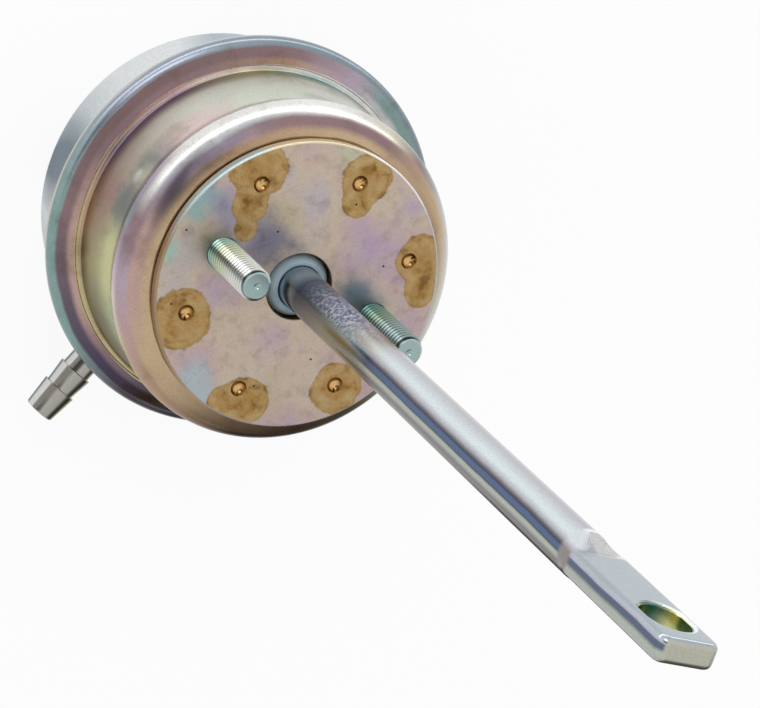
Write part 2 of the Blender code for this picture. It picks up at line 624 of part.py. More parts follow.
make_rear_cap()
make_hose_barb()
make_front_can()
make_mounting_plate()
make_stud("stud_left", -1)
make_stud("stud_right", 1)
make_guide_bush()
make_rod_seal()
make_bush_retainer()
make_spring_seat()
make_spring()
make_diaphragm()
make_diaphragm_retainer()
make_piston()
make_piston_washer()
make_rod()
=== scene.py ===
from math import cos, pi, radians, sin

import bmesh
import bpy
from mathutils import Matrix, Vector


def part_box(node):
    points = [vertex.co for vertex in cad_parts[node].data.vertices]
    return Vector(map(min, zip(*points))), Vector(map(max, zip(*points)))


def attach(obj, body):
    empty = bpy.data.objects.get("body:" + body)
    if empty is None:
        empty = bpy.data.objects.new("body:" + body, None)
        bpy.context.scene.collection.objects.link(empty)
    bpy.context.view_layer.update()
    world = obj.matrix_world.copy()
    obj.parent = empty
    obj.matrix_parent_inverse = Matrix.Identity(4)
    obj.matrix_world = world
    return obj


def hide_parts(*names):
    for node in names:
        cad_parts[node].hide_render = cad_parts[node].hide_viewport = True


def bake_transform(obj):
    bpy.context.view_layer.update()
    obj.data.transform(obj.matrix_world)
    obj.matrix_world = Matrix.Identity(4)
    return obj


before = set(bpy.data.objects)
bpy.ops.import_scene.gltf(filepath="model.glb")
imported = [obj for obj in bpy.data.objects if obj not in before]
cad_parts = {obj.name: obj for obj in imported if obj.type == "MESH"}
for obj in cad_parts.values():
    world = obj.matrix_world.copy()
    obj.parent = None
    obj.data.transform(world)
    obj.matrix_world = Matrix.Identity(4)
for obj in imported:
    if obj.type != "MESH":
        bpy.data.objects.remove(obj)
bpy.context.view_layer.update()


# The rear cap is the pressure side of the can: deep-drawn mild steel sheet, barrel-plated with
# clear (blue) zinc. Its flange is hidden inside the front can's rolled rim. Its wall isn't pierced
# here for the hose barb, whose collar covers the hole.
MM = 0.001
CAP_WALL = 33.45 * MM
CAP_CORNER = 3.0 * MM
CAP_BEND = 0.65 * MM
CAP_SHEET = 0.9 * MM
CAP_RIM = 37.3 * MM
CAP_FLANGE = 22.1 * MM
CAP_GROOVE = 21.1 * MM
GROOVE_OUTSIDE = 35.5 * MM
GROOVE_SLOPE = 0.5 * MM
# the white zinc is a painted highlight and the slate zinc a painted dark reflection
CLEAR_ZINC, CAP_HIGHLIGHT_WHITE, BLUE_ZINC, CAP_SLATE_REFLECTION = "#cfd6d9", "#e2e6e8", "#a6b5bf", "#75838f"
SEAM_TURN = radians(-163)


def line_to(bm, last, *corners):
    """Draws straight stretches of a profile from its last vertex, through corners (x, z)."""
    for x, z in corners:
        new = bm.verts.new((x, 0, z))
        bm.edges.new((last, new))
        last = new
    return last


def arc_to(bm, last, x, z, degrees, steps):
    """Draws an arc about a centre; a positive turn goes from the top towards +X."""
    turned = bmesh.ops.spin(bm, geom=[last], cent=(x, 0, z), axis=(0, 1, 0),
                            angle=radians(degrees), steps=steps)
    return next(g for g in turned["geom_last"] if isinstance(g, bmesh.types.BMVert))


def revolve(bm, steps):
    """Turns the drawn profile about the rod's axis, and notes how far down the profile each
    point lies, so that a finish can follow the shape."""
    distance = bm.verts.layers.float.new("down_profile")
    bm.verts.ensure_lookup_table()
    run = 0.0
    for i, vert in enumerate(bm.verts):
        run += (vert.co - bm.verts[i - 1].co).length if i else 0.0
        vert[distance] = run
    bmesh.ops.spin(bm, geom=bm.verts[:] + bm.edges[:], cent=(0, 0, 0), axis=(0, 0, 1),
                   angle=2 * pi, steps=steps, use_merge=True)
    bmesh.ops.remove_doubles(bm, verts=bm.verts, dist=0.001 * MM)
    bmesh.ops.recalc_face_normals(bm, faces=bm.faces)
    if bm.calc_volume(signed=True) < 0:
        bmesh.ops.reverse_faces(bm, faces=bm.faces)


def make_object(name, bm, crease=35):
    """Makes a scene object of the finished bmesh, smooth except along its sharp edges."""
    mesh = bpy.data.meshes.new(name)
    bm.to_mesh(mesh)
    bm.free()
    mesh.shade_smooth()
    mesh.set_sharp_from_angle(angle=radians(crease))
    obj = bpy.data.objects.new(name, mesh)
    bpy.context.scene.collection.objects.link(obj)
    return obj


def thicken(obj, thickness):
    """Gives a turned skin its sheet thickness, inwards, and keeps its cut edges sharp."""
    wall = obj.modifiers.new("sheet", "SOLIDIFY")
    wall.thickness = thickness
    wall.offset = -1
    wall.use_even_offset = True
    bake_modifiers(obj)


def bake_modifiers(obj, crease=35):
    """Replaces an object's mesh by what its modifiers make of it."""
    evaluated = obj.evaluated_get(bpy.context.evaluated_depsgraph_get())
    mesh = bpy.data.meshes.new_from_object(evaluated)
    obj.modifiers.clear()
    obj.data = mesh
    mesh.shade_smooth()
    mesh.set_sharp_from_angle(angle=radians(crease))


def colour(hex_text):
    """An sRGB hex colour as linear RGBA."""
    parts = [int(hex_text[i:i + 2], 16) / 255 for i in (1, 3, 5)]
    return [c / 12.92 if c <= 0.04045 else ((c + 0.055) / 1.055) ** 2.4 for c in parts] + [1.0]


def add_node(tree, kind, inputs=None, stops=None, out=0, **settings):
    """Adds a node: its settings, its inputs as values or links, and a ramp's colour stops.
    Gives the output that is asked for."""
    new = tree.nodes.new("ShaderNode" + kind)
    for name, value in settings.items():
        setattr(new, name, value)
    for key, value in (inputs or {}).items():
        if isinstance(value, bpy.types.NodeSocket):
            tree.links.new(value, new.inputs[key])
        else:
            new.inputs[key].default_value = value
    if stops:
        ramp = new.color_ramp
        for place, hex_text in stops[1:-1]:
            ramp.elements.new(place)
        for element, (place, hex_text) in zip(ramp.elements, stops):
            element.position = place
            element.color = colour(hex_text)
    return new.outputs[out]


def new_material(name, roughness, metallic=1.0):
    """A material with one Principled shader: gives it, its tree and shader, and the place in the
    object, which its pattern follows."""
    material = bpy.data.materials.new(name)
    material.use_nodes = True
    shader = material.node_tree.nodes["Principled BSDF"]
    shader.inputs["Roughness"].default_value = roughness
    shader.inputs["Metallic"].default_value = metallic
    place = add_node(material.node_tree, "TexCoord", out="Object")
    return material, material.node_tree, shader, place


def turn_about_rod(tree, place, wander):
    """A ramp factor that runs once round the rod's axis, from 0 at the seam, and wanders a little
    as a real finish does; 0.5 is the side opposite the seam."""
    drift = add_node(tree, "TexNoise", {"Vector": place, "Scale": 1 / (22.2 * MM), "Detail": 3},
                     normalize=False, out="Color")
    warped = add_node(tree, "VectorMath", {0: drift, 1: (wander,) * 3, 2: place},
                      operation="MULTIPLY_ADD")
    turned = add_node(tree, "Mapping", {"Vector": warped, "Rotation": (0, 0, SEAM_TURN)})
    return add_node(tree, "TexGradient", {0: turned}, gradient_type="RADIAL", out=1)


def turn_stops(stops):
    """Ramp stops from turns in degrees, -180 to 180, counted from the side opposite the seam;
    the first colour also closes the turn."""
    return [(0.5 + turn / 360, hex_text) for turn, hex_text in (*stops, (180, stops[0][1]))]


def add_grain(tree, shader, place, tone, size, depth, smooth, rough):
    """Finishes a surface: fine grain in its colour, its gloss between smooth and rough, and a
    bump as deep as given."""
    fine = add_node(tree, "TexNoise", {"Vector": place, "Scale": 1 / size, "Detail": 4})
    broad = add_node(tree, "TexNoise", {"Vector": place, "Scale": 1 / (7.69 * MM), "Detail": 3})
    speckle = add_node(tree, "ValToRGB", {0: fine}, [(0.3, "#f1f1f1"), (0.6, "#ffffff")])
    mixed = add_node(tree, "Mix", {0: 1.0, 6: tone, 7: speckle}, data_type="RGBA",
                     blend_type="MULTIPLY", out=2)
    tree.links.new(mixed, shader.inputs["Base Color"])
    gloss = add_node(tree, "MapRange", {0: broad, 1: 0.3, 2: 0.7, 3: smooth, 4: rough})
    tree.links.new(gloss, shader.inputs["Roughness"])
    bump = add_node(tree, "Bump", {"Height": fine, "Strength": 0.5, "Distance": depth})
    tree.links.new(bump, shader.inputs["Normal"])


bm = bmesh.new()
point = bm.verts.new((CAP_RIM, 0, CAP_FLANGE))
point = line_to(bm, point, (GROOVE_OUTSIDE + GROOVE_SLOPE, CAP_FLANGE),
                (GROOVE_OUTSIDE, CAP_GROOVE), (CAP_WALL + CAP_BEND, CAP_GROOVE))
point = arc_to(bm, point, CAP_WALL + CAP_BEND, CAP_GROOVE - CAP_BEND, -90, 5)
point = line_to(bm, point, (CAP_WALL, CAP_CORNER))
point = arc_to(bm, point, CAP_WALL - CAP_CORNER, CAP_CORNER, 90, 14)
line_to(bm, point, (0, 0))
revolve(bm, 160)
pressed_rear_cap = make_object("pressed_rear_cap", bm)
thicken(pressed_rear_cap, CAP_SHEET)

# clear zinc on drawn steel: pale silver with a blue cast; round the wall, white bands are painted
# highlights and one long slate band down the wall is a painted dark reflection
clear_zinc, tree, shader, place = new_material("clear_zinc_on_drawn_steel", 0.3)
tone = add_node(tree, "ValToRGB", {0: turn_about_rod(tree, place, 0.004)}, turn_stops([
    (-180, CLEAR_ZINC), (-75, BLUE_ZINC), (-45, BLUE_ZINC), (-30, CAP_HIGHLIGHT_WHITE), (-12, CAP_HIGHLIGHT_WHITE),
    (6, CLEAR_ZINC), (20, CAP_SLATE_REFLECTION), (30, CAP_SLATE_REFLECTION), (38, CAP_HIGHLIGHT_WHITE), (60, CLEAR_ZINC)]))
add_grain(tree, shader, place, tone, 0.5 * MM, 0.002 * MM, 0.2, 0.3)
pressed_rear_cap.data.materials.append(clear_zinc)
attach(pressed_rear_cap, "canister")
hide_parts("rear_cap")


# The hose barb is a turned brass fitting, bright nickel plated, with two sharp-edged barbs that
# grip the hose. Its neck runs straight through the cap's wall: the flare behind the wall doesn't
# show and is left out here.
BARB_DIRECTION = radians(-106.3)
BARB_HEIGHT = 10.5 * MM
BARB_TIP = 51.8 * MM
BARB_INNER_END = 31.0 * MM
BARB_BORE = 1.6 * MM
BARB_NECK = 2.95 * MM
BARB_CREST = 3.5 * MM
BARB_CRESTS = (45.9 * MM, 41.3 * MM)
BARB_BACK = 0.12 * MM
BARB_BLUNT = 0.05 * MM
BORE_CHAMFER = 0.3 * MM
TIP_CHAMFER = 0.25 * MM
COLLAR_RADIUS = 4.5 * MM
COLLAR_TOP = 35.3 * MM
COLLAR_FOOT = 33.75 * MM
COLLAR_CHAMFER = 0.2 * MM
TURNING_PITCH = 0.349 * MM
# the bright nickel is a painted highlight, the nickel shade painted shade, and the blue and dull
# nickel painted dark reflections
NICKEL_HIGHLIGHT, MID_NICKEL, NICKEL_SHADE = "#f0f0ee", "#bdbab4", "#8c8884"
NICKEL_BLUE_REFLECTION, NICKEL_DULL_REFLECTION, GROOVE_SHADE = "#7a8692", "#8a8672", "#cfcdc9"

bm = bmesh.new()
point = bm.verts.new((BARB_BORE, 0, BARB_INNER_END))
point = line_to(bm, point, (BARB_BORE, BARB_TIP - BORE_CHAMFER),
                (BARB_BORE + BORE_CHAMFER, BARB_TIP), (BARB_NECK - TIP_CHAMFER, BARB_TIP),
                (BARB_NECK, BARB_TIP - TIP_CHAMFER))
for crest in BARB_CRESTS:
    point = line_to(bm, point, (BARB_CREST - BARB_BLUNT, crest + BARB_BACK), (BARB_CREST, crest),
                    (BARB_NECK, crest - BARB_BACK))
line_to(bm, point, (BARB_NECK, COLLAR_TOP), (COLLAR_RADIUS - COLLAR_CHAMFER, COLLAR_TOP),
        (COLLAR_RADIUS, COLLAR_TOP - COLLAR_CHAMFER), (COLLAR_RADIUS, COLLAR_FOOT),
        (BARB_NECK, COLLAR_FOOT), (BARB_NECK, BARB_INNER_END), (BARB_BORE, BARB_INNER_END))
revolve(bm, 64)
bmesh.ops.transform(bm, verts=bm.verts, matrix=Matrix.Translation((0, 0, BARB_HEIGHT))
                    @ Matrix.Rotation(BARB_DIRECTION, 4, "Z") @ Matrix.Rotation(pi / 2, 4, "Y"))
turned_hose_barb = make_object("turned_hose_barb", bm, 25)

# bright nickel over turned brass: nearly a mirror, dulled a little in fine rings by the lathe; the
# long light and dark stripes that a small bright cylinder shows are painted on round it as a
# painted highlight, painted shade and painted dark reflections
nickel, tree, shader, place = new_material("bright_nickel_on_brass", 0.16)
along = add_node(tree, "Mapping", {"Vector": place, "Rotation": (0, 0, -BARB_DIRECTION)})
# a wave texture repeats every pi / 10 divided by its scale
rings = add_node(tree, "TexWave", {"Vector": along, "Scale": pi / 10 / TURNING_PITCH,
                                   "Distortion": 1.5}, out=1)
groove = add_node(tree, "ValToRGB", {0: rings}, [(0.0, GROOVE_SHADE), (0.6, "#ffffff")])
upright = add_node(tree, "Mapping", {"Vector": along, "Rotation": (0, pi / 2, 0),
                                     "Location": (-BARB_HEIGHT, 0, 0)})
around = add_node(tree, "TexGradient", {0: upright}, gradient_type="RADIAL", out=1)
reflection_stripes = add_node(tree, "ValToRGB", {0: around}, turn_stops([
    (-180, MID_NICKEL), (-125, NICKEL_BLUE_REFLECTION), (-93, NICKEL_BLUE_REFLECTION), (-84, NICKEL_HIGHLIGHT),
    (-63, NICKEL_HIGHLIGHT), (-56, NICKEL_SHADE), (-36, NICKEL_SHADE), (-24, MID_NICKEL),
    (10, MID_NICKEL), (24, NICKEL_DULL_REFLECTION), (60, NICKEL_DULL_REFLECTION)]))
tone = add_node(tree, "Mix", {0: 1.0, 6: reflection_stripes, 7: groove},
                data_type="RGBA", blend_type="MULTIPLY", out=2)
add_grain(tree, shader, place, tone, 0.3 * MM, 0.001 * MM, 0.08, 0.16)
turned_hose_barb.data.materials.append(nickel)
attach(turned_hose_barb, "canister")
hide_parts("hose_barb")


# The guide bush is pressed in a mould from metal powder and sintered. Its coned nose stands in the
# plate's hole and carries the rod; only the nose shows.
BUSH_BORE = 4.15 * MM
BUSH_LIP = 0.2 * MM
BUSH_NOSE = 6.0 * MM
BUSH_NOSE_END = 4.75 * MM
BUSH_CONE = 1.7 * MM
BUSH_STEP = 48.5 * MM
BUSH_GREY, BUSH_SHADE = "#9db0b9", "#8da0aa"
bush_low, bush_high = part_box("guide_bush")

bm = bmesh.new()
point = bm.verts.new((BUSH_BORE, 0, bush_low.z))
point = line_to(bm, point, (BUSH_BORE, bush_high.z - BUSH_LIP))
point = arc_to(bm, point, BUSH_BORE + BUSH_LIP, bush_high.z - BUSH_LIP, 90, 4)
line_to(bm, point, (BUSH_NOSE_END, bush_high.z), (BUSH_NOSE, bush_high.z - BUSH_CONE),
        (BUSH_NOSE, BUSH_STEP), (bush_high.x, BUSH_STEP), (bush_high.x, bush_low.z),
        (BUSH_BORE, bush_low.z))
revolve(bm, 96)
moulded_guide_bush = make_object("moulded_guide_bush", bm, 50)

# sintered, oil-filled metal powder: dull blue-grey with a fine grain
sintered, tree, shader, place = new_material("grey_sintered_bush", 0.55, 0.0)
cloud = add_node(tree, "TexNoise", {"Vector": place, "Scale": 1 / (2.857 * MM), "Detail": 5})
tone = add_node(tree, "ValToRGB", {0: cloud}, [(0.35, BUSH_SHADE), (0.6, BUSH_GREY)])
add_grain(tree, shader, place, tone, 0.15 * MM, 0.01 * MM, 0.6, 0.75)
moulded_guide_bush.data.materials.append(sintered)
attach(moulded_guide_bush, "canister")
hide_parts("guide_bush")


# The front can is deep-drawn steel with iridescent yellow zinc: flat end, wide rounded shoulder,
# waist, flared foot, and a flange whose rim is rolled over the rear cap's flange.
CAN_SHEET = 0.9 * MM
CAN_HOLE = 6.4 * MM
SHOULDER_EDGE = 24.1 * MM
SHOULDER_SPREAD = 8.7 * MM
SHOULDER_DROP = 6.2 * MM
BEAD_RADIUS = 2.6 * MM
WAIST_RADIUS = 6.0 * MM
WAIST_LEAN = 28
WALL_BEND = 32.25 * MM
WALL_BEND_LEVEL = 31.0 * MM
FOOT_WALL = 32.7 * MM
FOOT_FILLET = 0.85 * MM
FOOT_LEVEL = 25.86 * MM
FOOT_TURN = 82
RIM_LEVEL = 24.2 * MM
RIM_BEND = 1.65 * MM
RIM_CURL = 1.05 * MM
RIM_LAP = 2.25 * MM
# the small step that the rolling tool coins round the foot: radius and height (mm)
COINED_STEP = ((33.62, 24.93), (33.8, 25.12), (33.95, 25.1))
can_low, can_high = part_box("front_can")

# the pale, the dark bronze and the deep violet stand for painted highlights and painted dark
# reflections as well as film
SILVER, CREAM, STRAW, TAN = "#c6cacb", "#d8d2c2", "#c9b988", "#b5967a"
ROSE, LILAC, MAUVE, VIOLET = "#c3a59d", "#bba8b8", "#957c80", "#8a7b87"
BRONZE, DARK_BRONZE_REFLECTION, OLIVE, PALE_HIGHLIGHT = "#8f7156", "#38261a", "#b9b894", "#ecedea"
LIGHT_TAN, PLUM, GAP_SHADE_BROWN = "#cdb392", "#866f6f", "#86694a"
PALE_GREEN, LIME, PINK_WHITE, SMOKE = "#e3e9dc", "#e4e4b2", "#ead9d5", "#9da09d"
MOSS, STRAW_GREEN, KHAKI, ASH = "#cbd8b2", "#d6d5aa", "#b0ad90", "#807c73"
DEEP_VIOLET_FILM_AND_REFLECTION, NIGHT_VIOLET, HAZE = "#6c626f", "#544d62", "#a9a7b4"
SLATE, TEAL, LIGHT_BLUE = "#8d9aa3", "#8faaa8", "#a3a9b8"
# where each band starts down the profile, over how far it blends (mm), and its turn of colours,
# which hold painted highlights and painted dark reflections as well as film; before the first one
# the can is brown, painted shade as in the gap under the plate
FILM_BANDS = (
    (21.25, 0.12, ((-180, SILVER), (-130, TAN), (-70, LIGHT_TAN), (-25, TAN), (20, LIGHT_TAN),
                  (80, LIGHT_TAN), (125, BRONZE), (150, MAUVE))),
    (22.8, 0.9, ((-180, SILVER), (-110, LIGHT_TAN), (-80, MAUVE), (-58, MAUVE), (-40, MAUVE),
                 (-24, DEEP_VIOLET_FILM_AND_REFLECTION), (-10, DEEP_VIOLET_FILM_AND_REFLECTION), (4, VIOLET), (20, ROSE), (45, ROSE),
                 (65, LIGHT_TAN), (95, LIGHT_TAN), (125, TAN), (142, BRONZE), (165, OLIVE))),
    (25.3, 0.7, ((-180, SILVER), (-120, SILVER), (-98, MAUVE), (-82, CREAM), (-60, PALE_HIGHLIGHT),
                 (-40, SILVER), (-20, SILVER), (0, HAZE), (20, MAUVE), (40, LILAC), (62, ROSE),
                 (85, TAN), (105, BRONZE), (120, DARK_BRONZE_REFLECTION), (145, DARK_BRONZE_REFLECTION),
                 (160, SILVER))),
    (26.5, 0.7, ((-180, SILVER), (-116, SILVER), (-98, ASH), (-82, CREAM), (-62, PALE_HIGHLIGHT),
                 (4, PALE_HIGHLIGHT), (18, MAUVE), (40, LILAC), (60, ROSE), (85, TAN), (105, BRONZE),
                 (115, DARK_BRONZE_REFLECTION), (132, DARK_BRONZE_REFLECTION), (160, PALE_HIGHLIGHT))),
    (28.2, 0.7, ((-180, CREAM), (-116, CREAM), (-98, ASH), (-82, CREAM), (-60, PALE_HIGHLIGHT),
                 (-8, PALE_HIGHLIGHT), (4, LILAC), (18, SLATE), (30, LILAC), (45, PINK_WHITE),
                 (65, STRAW), (88, BRONZE), (130, DARK_BRONZE_REFLECTION))),
    (30.6, 0.8, ((-180, CREAM), (-95, CREAM), (-84, PALE_GREEN), (-34, PALE_GREEN),
                 (-20, PINK_WHITE), (-6, PINK_WHITE), (2, SMOKE), (8, CREAM),
                 (18, SMOKE), (34, LIME), (48, LIME), (60, MOSS), (78, OLIVE),
                 (110, TAN))),
    (38.5, 3.0, ((-180, CREAM), (-95, TAN), (-80, PALE_GREEN), (-20, PALE_GREEN), (0, CREAM),
                 (20, ROSE), (45, STRAW_GREEN), (60, KHAKI), (80, KHAKI), (110, TAN))),
    (45.4, 1.6, ((-180, STRAW), (-95, PALE_HIGHLIGHT), (-70, TEAL), (-45, OLIVE), (-20, VIOLET), (8, VIOLET),
                 (25, TAN), (60, KHAKI), (110, BRONZE))),
    (48.2, 0.2, ((-180, CREAM), (-95, PALE_HIGHLIGHT), (-20, ROSE), (60, STRAW))),
    (49.1, 0.15, ((-180, CREAM), (-95, SILVER), (-80, LILAC), (-60, TAN), (-30, MAUVE),
                  (10, MAUVE), (30, ROSE), (60, ROSE), (80, MAUVE), (98, DEEP_VIOLET_FILM_AND_REFLECTION),
                  (112, DARK_BRONZE_REFLECTION))),
    (50.4, 0.6, ((-180, TEAL), (-95, TEAL), (-82, LILAC), (-65, MAUVE), (-20, PLUM), (10, PLUM),
                 (30, MAUVE), (62, DEEP_VIOLET_FILM_AND_REFLECTION), (84, NIGHT_VIOLET), (105, DARK_BRONZE_REFLECTION))),
    (52.5, 0.35, ((-180, SLATE), (-60, SLATE), (-10, LIGHT_BLUE), (30, TEAL), (72, TEAL),
                  (95, DEEP_VIOLET_FILM_AND_REFLECTION))),
    (54.9, 0.3, ((-180, SILVER), (-40, SILVER), (40, CREAM))),
)
# grey spots and one small pale spot on the wall: turn (degrees), height, radius (mm) and colour;
# and the wall's radius
CAN_WALL_SPOTS = ((20, 38.5, 2.4, "#8d918c"), (6, 36, 1.4, "#9c9e96"), (8.5, 37, 0.3, "#e6e4de"))
SPOTTED_WALL = 32.2


def tint_spot(tree, place, tone, centre, tint, ragged, swing, full, gone):
    """Lays a spot of another tint over a film: whole out to a distance from its centre and gone
    at another, both pushed out and in by a ragged pattern's swing."""
    distance = add_node(tree, "VectorMath", {0: place, 1: centre}, operation="DISTANCE", out=1)
    edge = add_node(tree, "Math", {0: ragged, 1: swing, 2: distance}, operation="MULTIPLY_ADD")
    spot = add_node(tree, "MapRange", {0: edge, 1: gone, 2: full},
                    interpolation_type="SMOOTHSTEP")
    return add_node(tree, "Mix", {0: spot, 6: tone, 7: colour(tint)}, data_type="RGBA", out=2)


bm = bmesh.new()
shoulder_level = can_high.z - SHOULDER_DROP
point = bm.verts.new((CAN_HOLE, 0, can_high.z))
point = line_to(bm, point, (SHOULDER_EDGE, can_high.z))
before_shoulder = set(bm.verts)
point = arc_to(bm, point, SHOULDER_EDGE, shoulder_level, 90, 24)
shoulder = [v for v in bm.verts if v not in before_shoulder]
bmesh.ops.scale(bm, vec=(SHOULDER_SPREAD / SHOULDER_DROP, 1, 1), verts=shoulder,
                space=Matrix.Translation((-SHOULDER_EDGE, 0, 0)))
bead_centre = SHOULDER_EDGE + SHOULDER_SPREAD - BEAD_RADIUS
point = arc_to(bm, point, bead_centre, shoulder_level, WAIST_LEAN, 6)
between_centres = BEAD_RADIUS + WAIST_RADIUS
point = arc_to(bm, point, bead_centre + between_centres * cos(radians(WAIST_LEAN)),
               shoulder_level - between_centres * sin(radians(WAIST_LEAN)), -WAIST_LEAN, 8)
point = line_to(bm, point, (WALL_BEND, WALL_BEND_LEVEL), (FOOT_WALL, FOOT_LEVEL))
point = arc_to(bm, point, FOOT_WALL + FOOT_FILLET, FOOT_LEVEL, -FOOT_TURN, 7)
point = line_to(bm, point, *((x * MM, z * MM) for x, z in COINED_STEP),
                (can_high.x - RIM_BEND, RIM_LEVEL))
point = arc_to(bm, point, can_high.x - RIM_BEND, RIM_LEVEL - RIM_BEND, 90, 10)
point = line_to(bm, point, (can_high.x, can_low.z + RIM_CURL))
point = arc_to(bm, point, can_high.x - RIM_CURL, can_low.z + RIM_CURL, 90, 8)
line_to(bm, point, (can_high.x - RIM_LAP, can_low.z))
revolve(bm, 192)
rolled_front_can = make_object("rolled_front_can", bm, 28)
thicken(rolled_front_can, CAN_SHEET)

# iridescent yellow zinc on drawn steel: a real film's thickness changes down the profile and round
# it; painted bands of straw, rose, lilac, slate and teal stand for it, mottled like old silver. The
# bands also hold painted light: near-white painted highlights on the shoulder and the foot,
# near-black bronze painted dark reflections low on the shoulder and the ring, and deep violet that
# is film and painted dark reflection together.
yellow_zinc, tree, shader, place = new_material("yellow_zinc_on_drawn_steel", 0.28)
around = turn_about_rod(tree, place, 0.003)
profile = add_node(tree, "Attribute", attribute_name="down_profile", out="Fac")
wander = add_node(tree, "TexNoise", {"Vector": place, "Scale": 1 / (12.5 * MM), "Detail": 3},
                  normalize=False)
down = add_node(tree, "Math", {0: wander, 1: 0.3 * MM, 2: profile}, operation="MULTIPLY_ADD")
# the brown the profile starts with is painted shade, as in the gap under the plate
tone = colour(GAP_SHADE_BROWN)
for start, blend, stops in FILM_BANDS:
    band = add_node(tree, "ValToRGB", {0: around}, turn_stops(stops))
    reach = add_node(tree, "MapRange", {0: down, 1: (start - blend) * MM, 2: (start + blend) * MM},
                     interpolation_type="SMOOTHSTEP")
    tone = add_node(tree, "Mix", {0: reach, 6: tone, 7: band}, data_type="RGBA", out=2)
mottle = add_node(tree, "TexNoise", {"Vector": place, "Scale": 1 / (9.09 * MM), "Detail": 5,
                                     "Roughness": 0.6})
patches = add_node(tree, "ValToRGB", {0: mottle}, [(0.32, "#e0deda"), (0.46, "#fafaf8"),
                                                   (0.6, "#ffffff")])
tone = add_node(tree, "Mix", {0: 1.0, 6: tone, 7: patches}, data_type="RGBA",
                blend_type="MULTIPLY", out=2)
for turn, level, radius, tint in CAN_WALL_SPOTS:
    angle = radians(turn) - SEAM_TURN
    centre = Vector((SPOTTED_WALL * cos(angle), SPOTTED_WALL * sin(angle), level)) * MM
    tone = tint_spot(tree, place, tone, centre, tint, mottle, 6 * MM,
                     (0.2 * radius + 2.2) * MM, (1.9 * radius + 4.2) * MM)
add_grain(tree, shader, place, tone, 0.35 * MM, 0.002 * MM, 0.18, 0.26)
# the shoulder and the rim are smooth; the waist and the drawn wall between them are duller
waist_dull = add_node(tree, "MapRange", {0: profile, 1: 29 * MM, 2: 34 * MM, 3: 0.21, 4: 0.4})
rim_bright = add_node(tree, "MapRange", {0: profile, 1: 47 * MM, 2: 48.5 * MM, 4: -0.18})
gloss = add_node(tree, "Math", {0: waist_dull, 1: rim_bright}, operation="ADD")
gloss = add_node(tree, "Math", {0: mottle, 1: 0.08, 2: gloss}, operation="MULTIPLY_ADD")
tree.links.new(gloss, shader.inputs["Roughness"])
rolled_front_can.data.materials.append(yellow_zinc)
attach(rolled_front_can, "canister")
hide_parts("front_can")


# The mounting plate is blanked from 2 mm steel and spot-welded to the can's end. The welds leave
# six small pits, with the finish burnt to golden brown about them. The pockets under it for the
# studs' heads don't show and are left out here.
PLATE_HOLE = 6.35 * MM
HOLE_LIP = 0.15 * MM
PLATE_EDGE = 0.4 * MM
WELD_CIRCLE = 21.7 * MM
WELD_MOUTH = 1.55 * MM
WELD_DEPTH = 0.9 * MM
WELD_STEP, WELD_TURN = 52, -2.7
WELD_ANGLES = [radians(side + step * WELD_STEP + WELD_TURN)
               for side in (90, -90) for step in (-1, 0, 1)]
STUD_OFFSET = 16.75 * MM
STUD_HOLE = 3.05 * MM
STUD_HOLE_CUT = 8 * MM
FLAT_REACH = 26.0 * MM
plate_low, plate_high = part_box("mounting_plate")
PLATE_ROSE, PLATE_SAND, PLATE_LILAC, PLATE_GREY = "#cdb5b0", "#d2c1ae", "#c4aebb", "#c4bbbf"
BURNT_GOLD, BURNT_LIGHT, BURNT_EDGE, PIT_GOLD = "#bb9862", "#c6ad7f", "#98794b", "#8a6230"
# the pits' rim colour is painted shade and their glint a painted highlight; the edge's white below
# is a painted highlight
PIT_RIM_SHADE, PIT_GLINT_HIGHLIGHT, SPECK = "#4a2f12", "#e2b878", "#2f2a26"
EDGE_HIGHLIGHT, EDGE_GOLD, EDGE_TEAL = "#f1f2f2", "#e0d3b4", "#c3d3d2"
EDGE_BROWN, EDGE_GREY = "#ab9274", "#c3c8cc"
# tinted places in the film: x, y, radius (mm) and colour; the darker ones at the left stud's foot
# and next to the bush are tint and painted shade together
PLATE_TINTS = ((-26.0, -3.5, 5.5, "#a0ccc3"), (-25.5, 5.0, 5.0, "#a0c2c0"),
               (-9.0, -25.5, 5.0, "#bac4c8"), (-22.0, -19.0, 5.5, "#bcc0ca"),
               (-19.5, 5.5, 5.0, "#a3a0b8"), (9.5, 11.5, 7.5, "#b9a1c2"),
               (-14.5, -7.0, 5.5, "#b69fbd"), (0.0, -11.5, 6.0, "#c6b2ba"),
               (22.5, -3.0, 6.5, "#bda9bd"), (-8.5, 11.0, 6.0, "#c6ba9e"),
               (4.0, -19.0, 5.5, "#c8b9a0"), (17.0, 0.5, 5.0, "#8fa4ac"),
               (13.0, 22.0, 5.0, "#b9a8c4"), (-4.0, 25.5, 4.0, "#c9c6ae"),
               (-19.0, -0.5, 4.8, "#64a09c"), (10.8, 3.4, 4.6, "#8595a0"),
               (-9.6, 5.0, 5.6, "#928c9b"), (-3.5, 7.2, 3.5, "#8d8893"))
# burnt places round the welds: x, y and radius (mm)
BURNT_PLACES = ((-18.4, 16.6, 6.0), (-16.6, 10.0, 3.8), (-15.0, 5.6, 2.4), (1.8, 23.0, 5.3),
                (2.4, 18.4, 3.2), (19.6, 13.6, 5.2), (22.8, 8.4, 3.6), (-18.2, -14.0, 6.3),
                (1.2, -23.8, 5.4), (-2.6, -24.8, 3.4), (17.0, -14.6, 5.5))


def cut_out(obj, tool, crease=35):
    """Cuts a tool's shape out of an object, and takes the tool away."""
    cut = obj.modifiers.new("cut", "BOOLEAN")
    cut.object = tool
    cut.solver = "EXACT"
    bake_modifiers(obj, crease)
    bpy.data.objects.remove(tool)


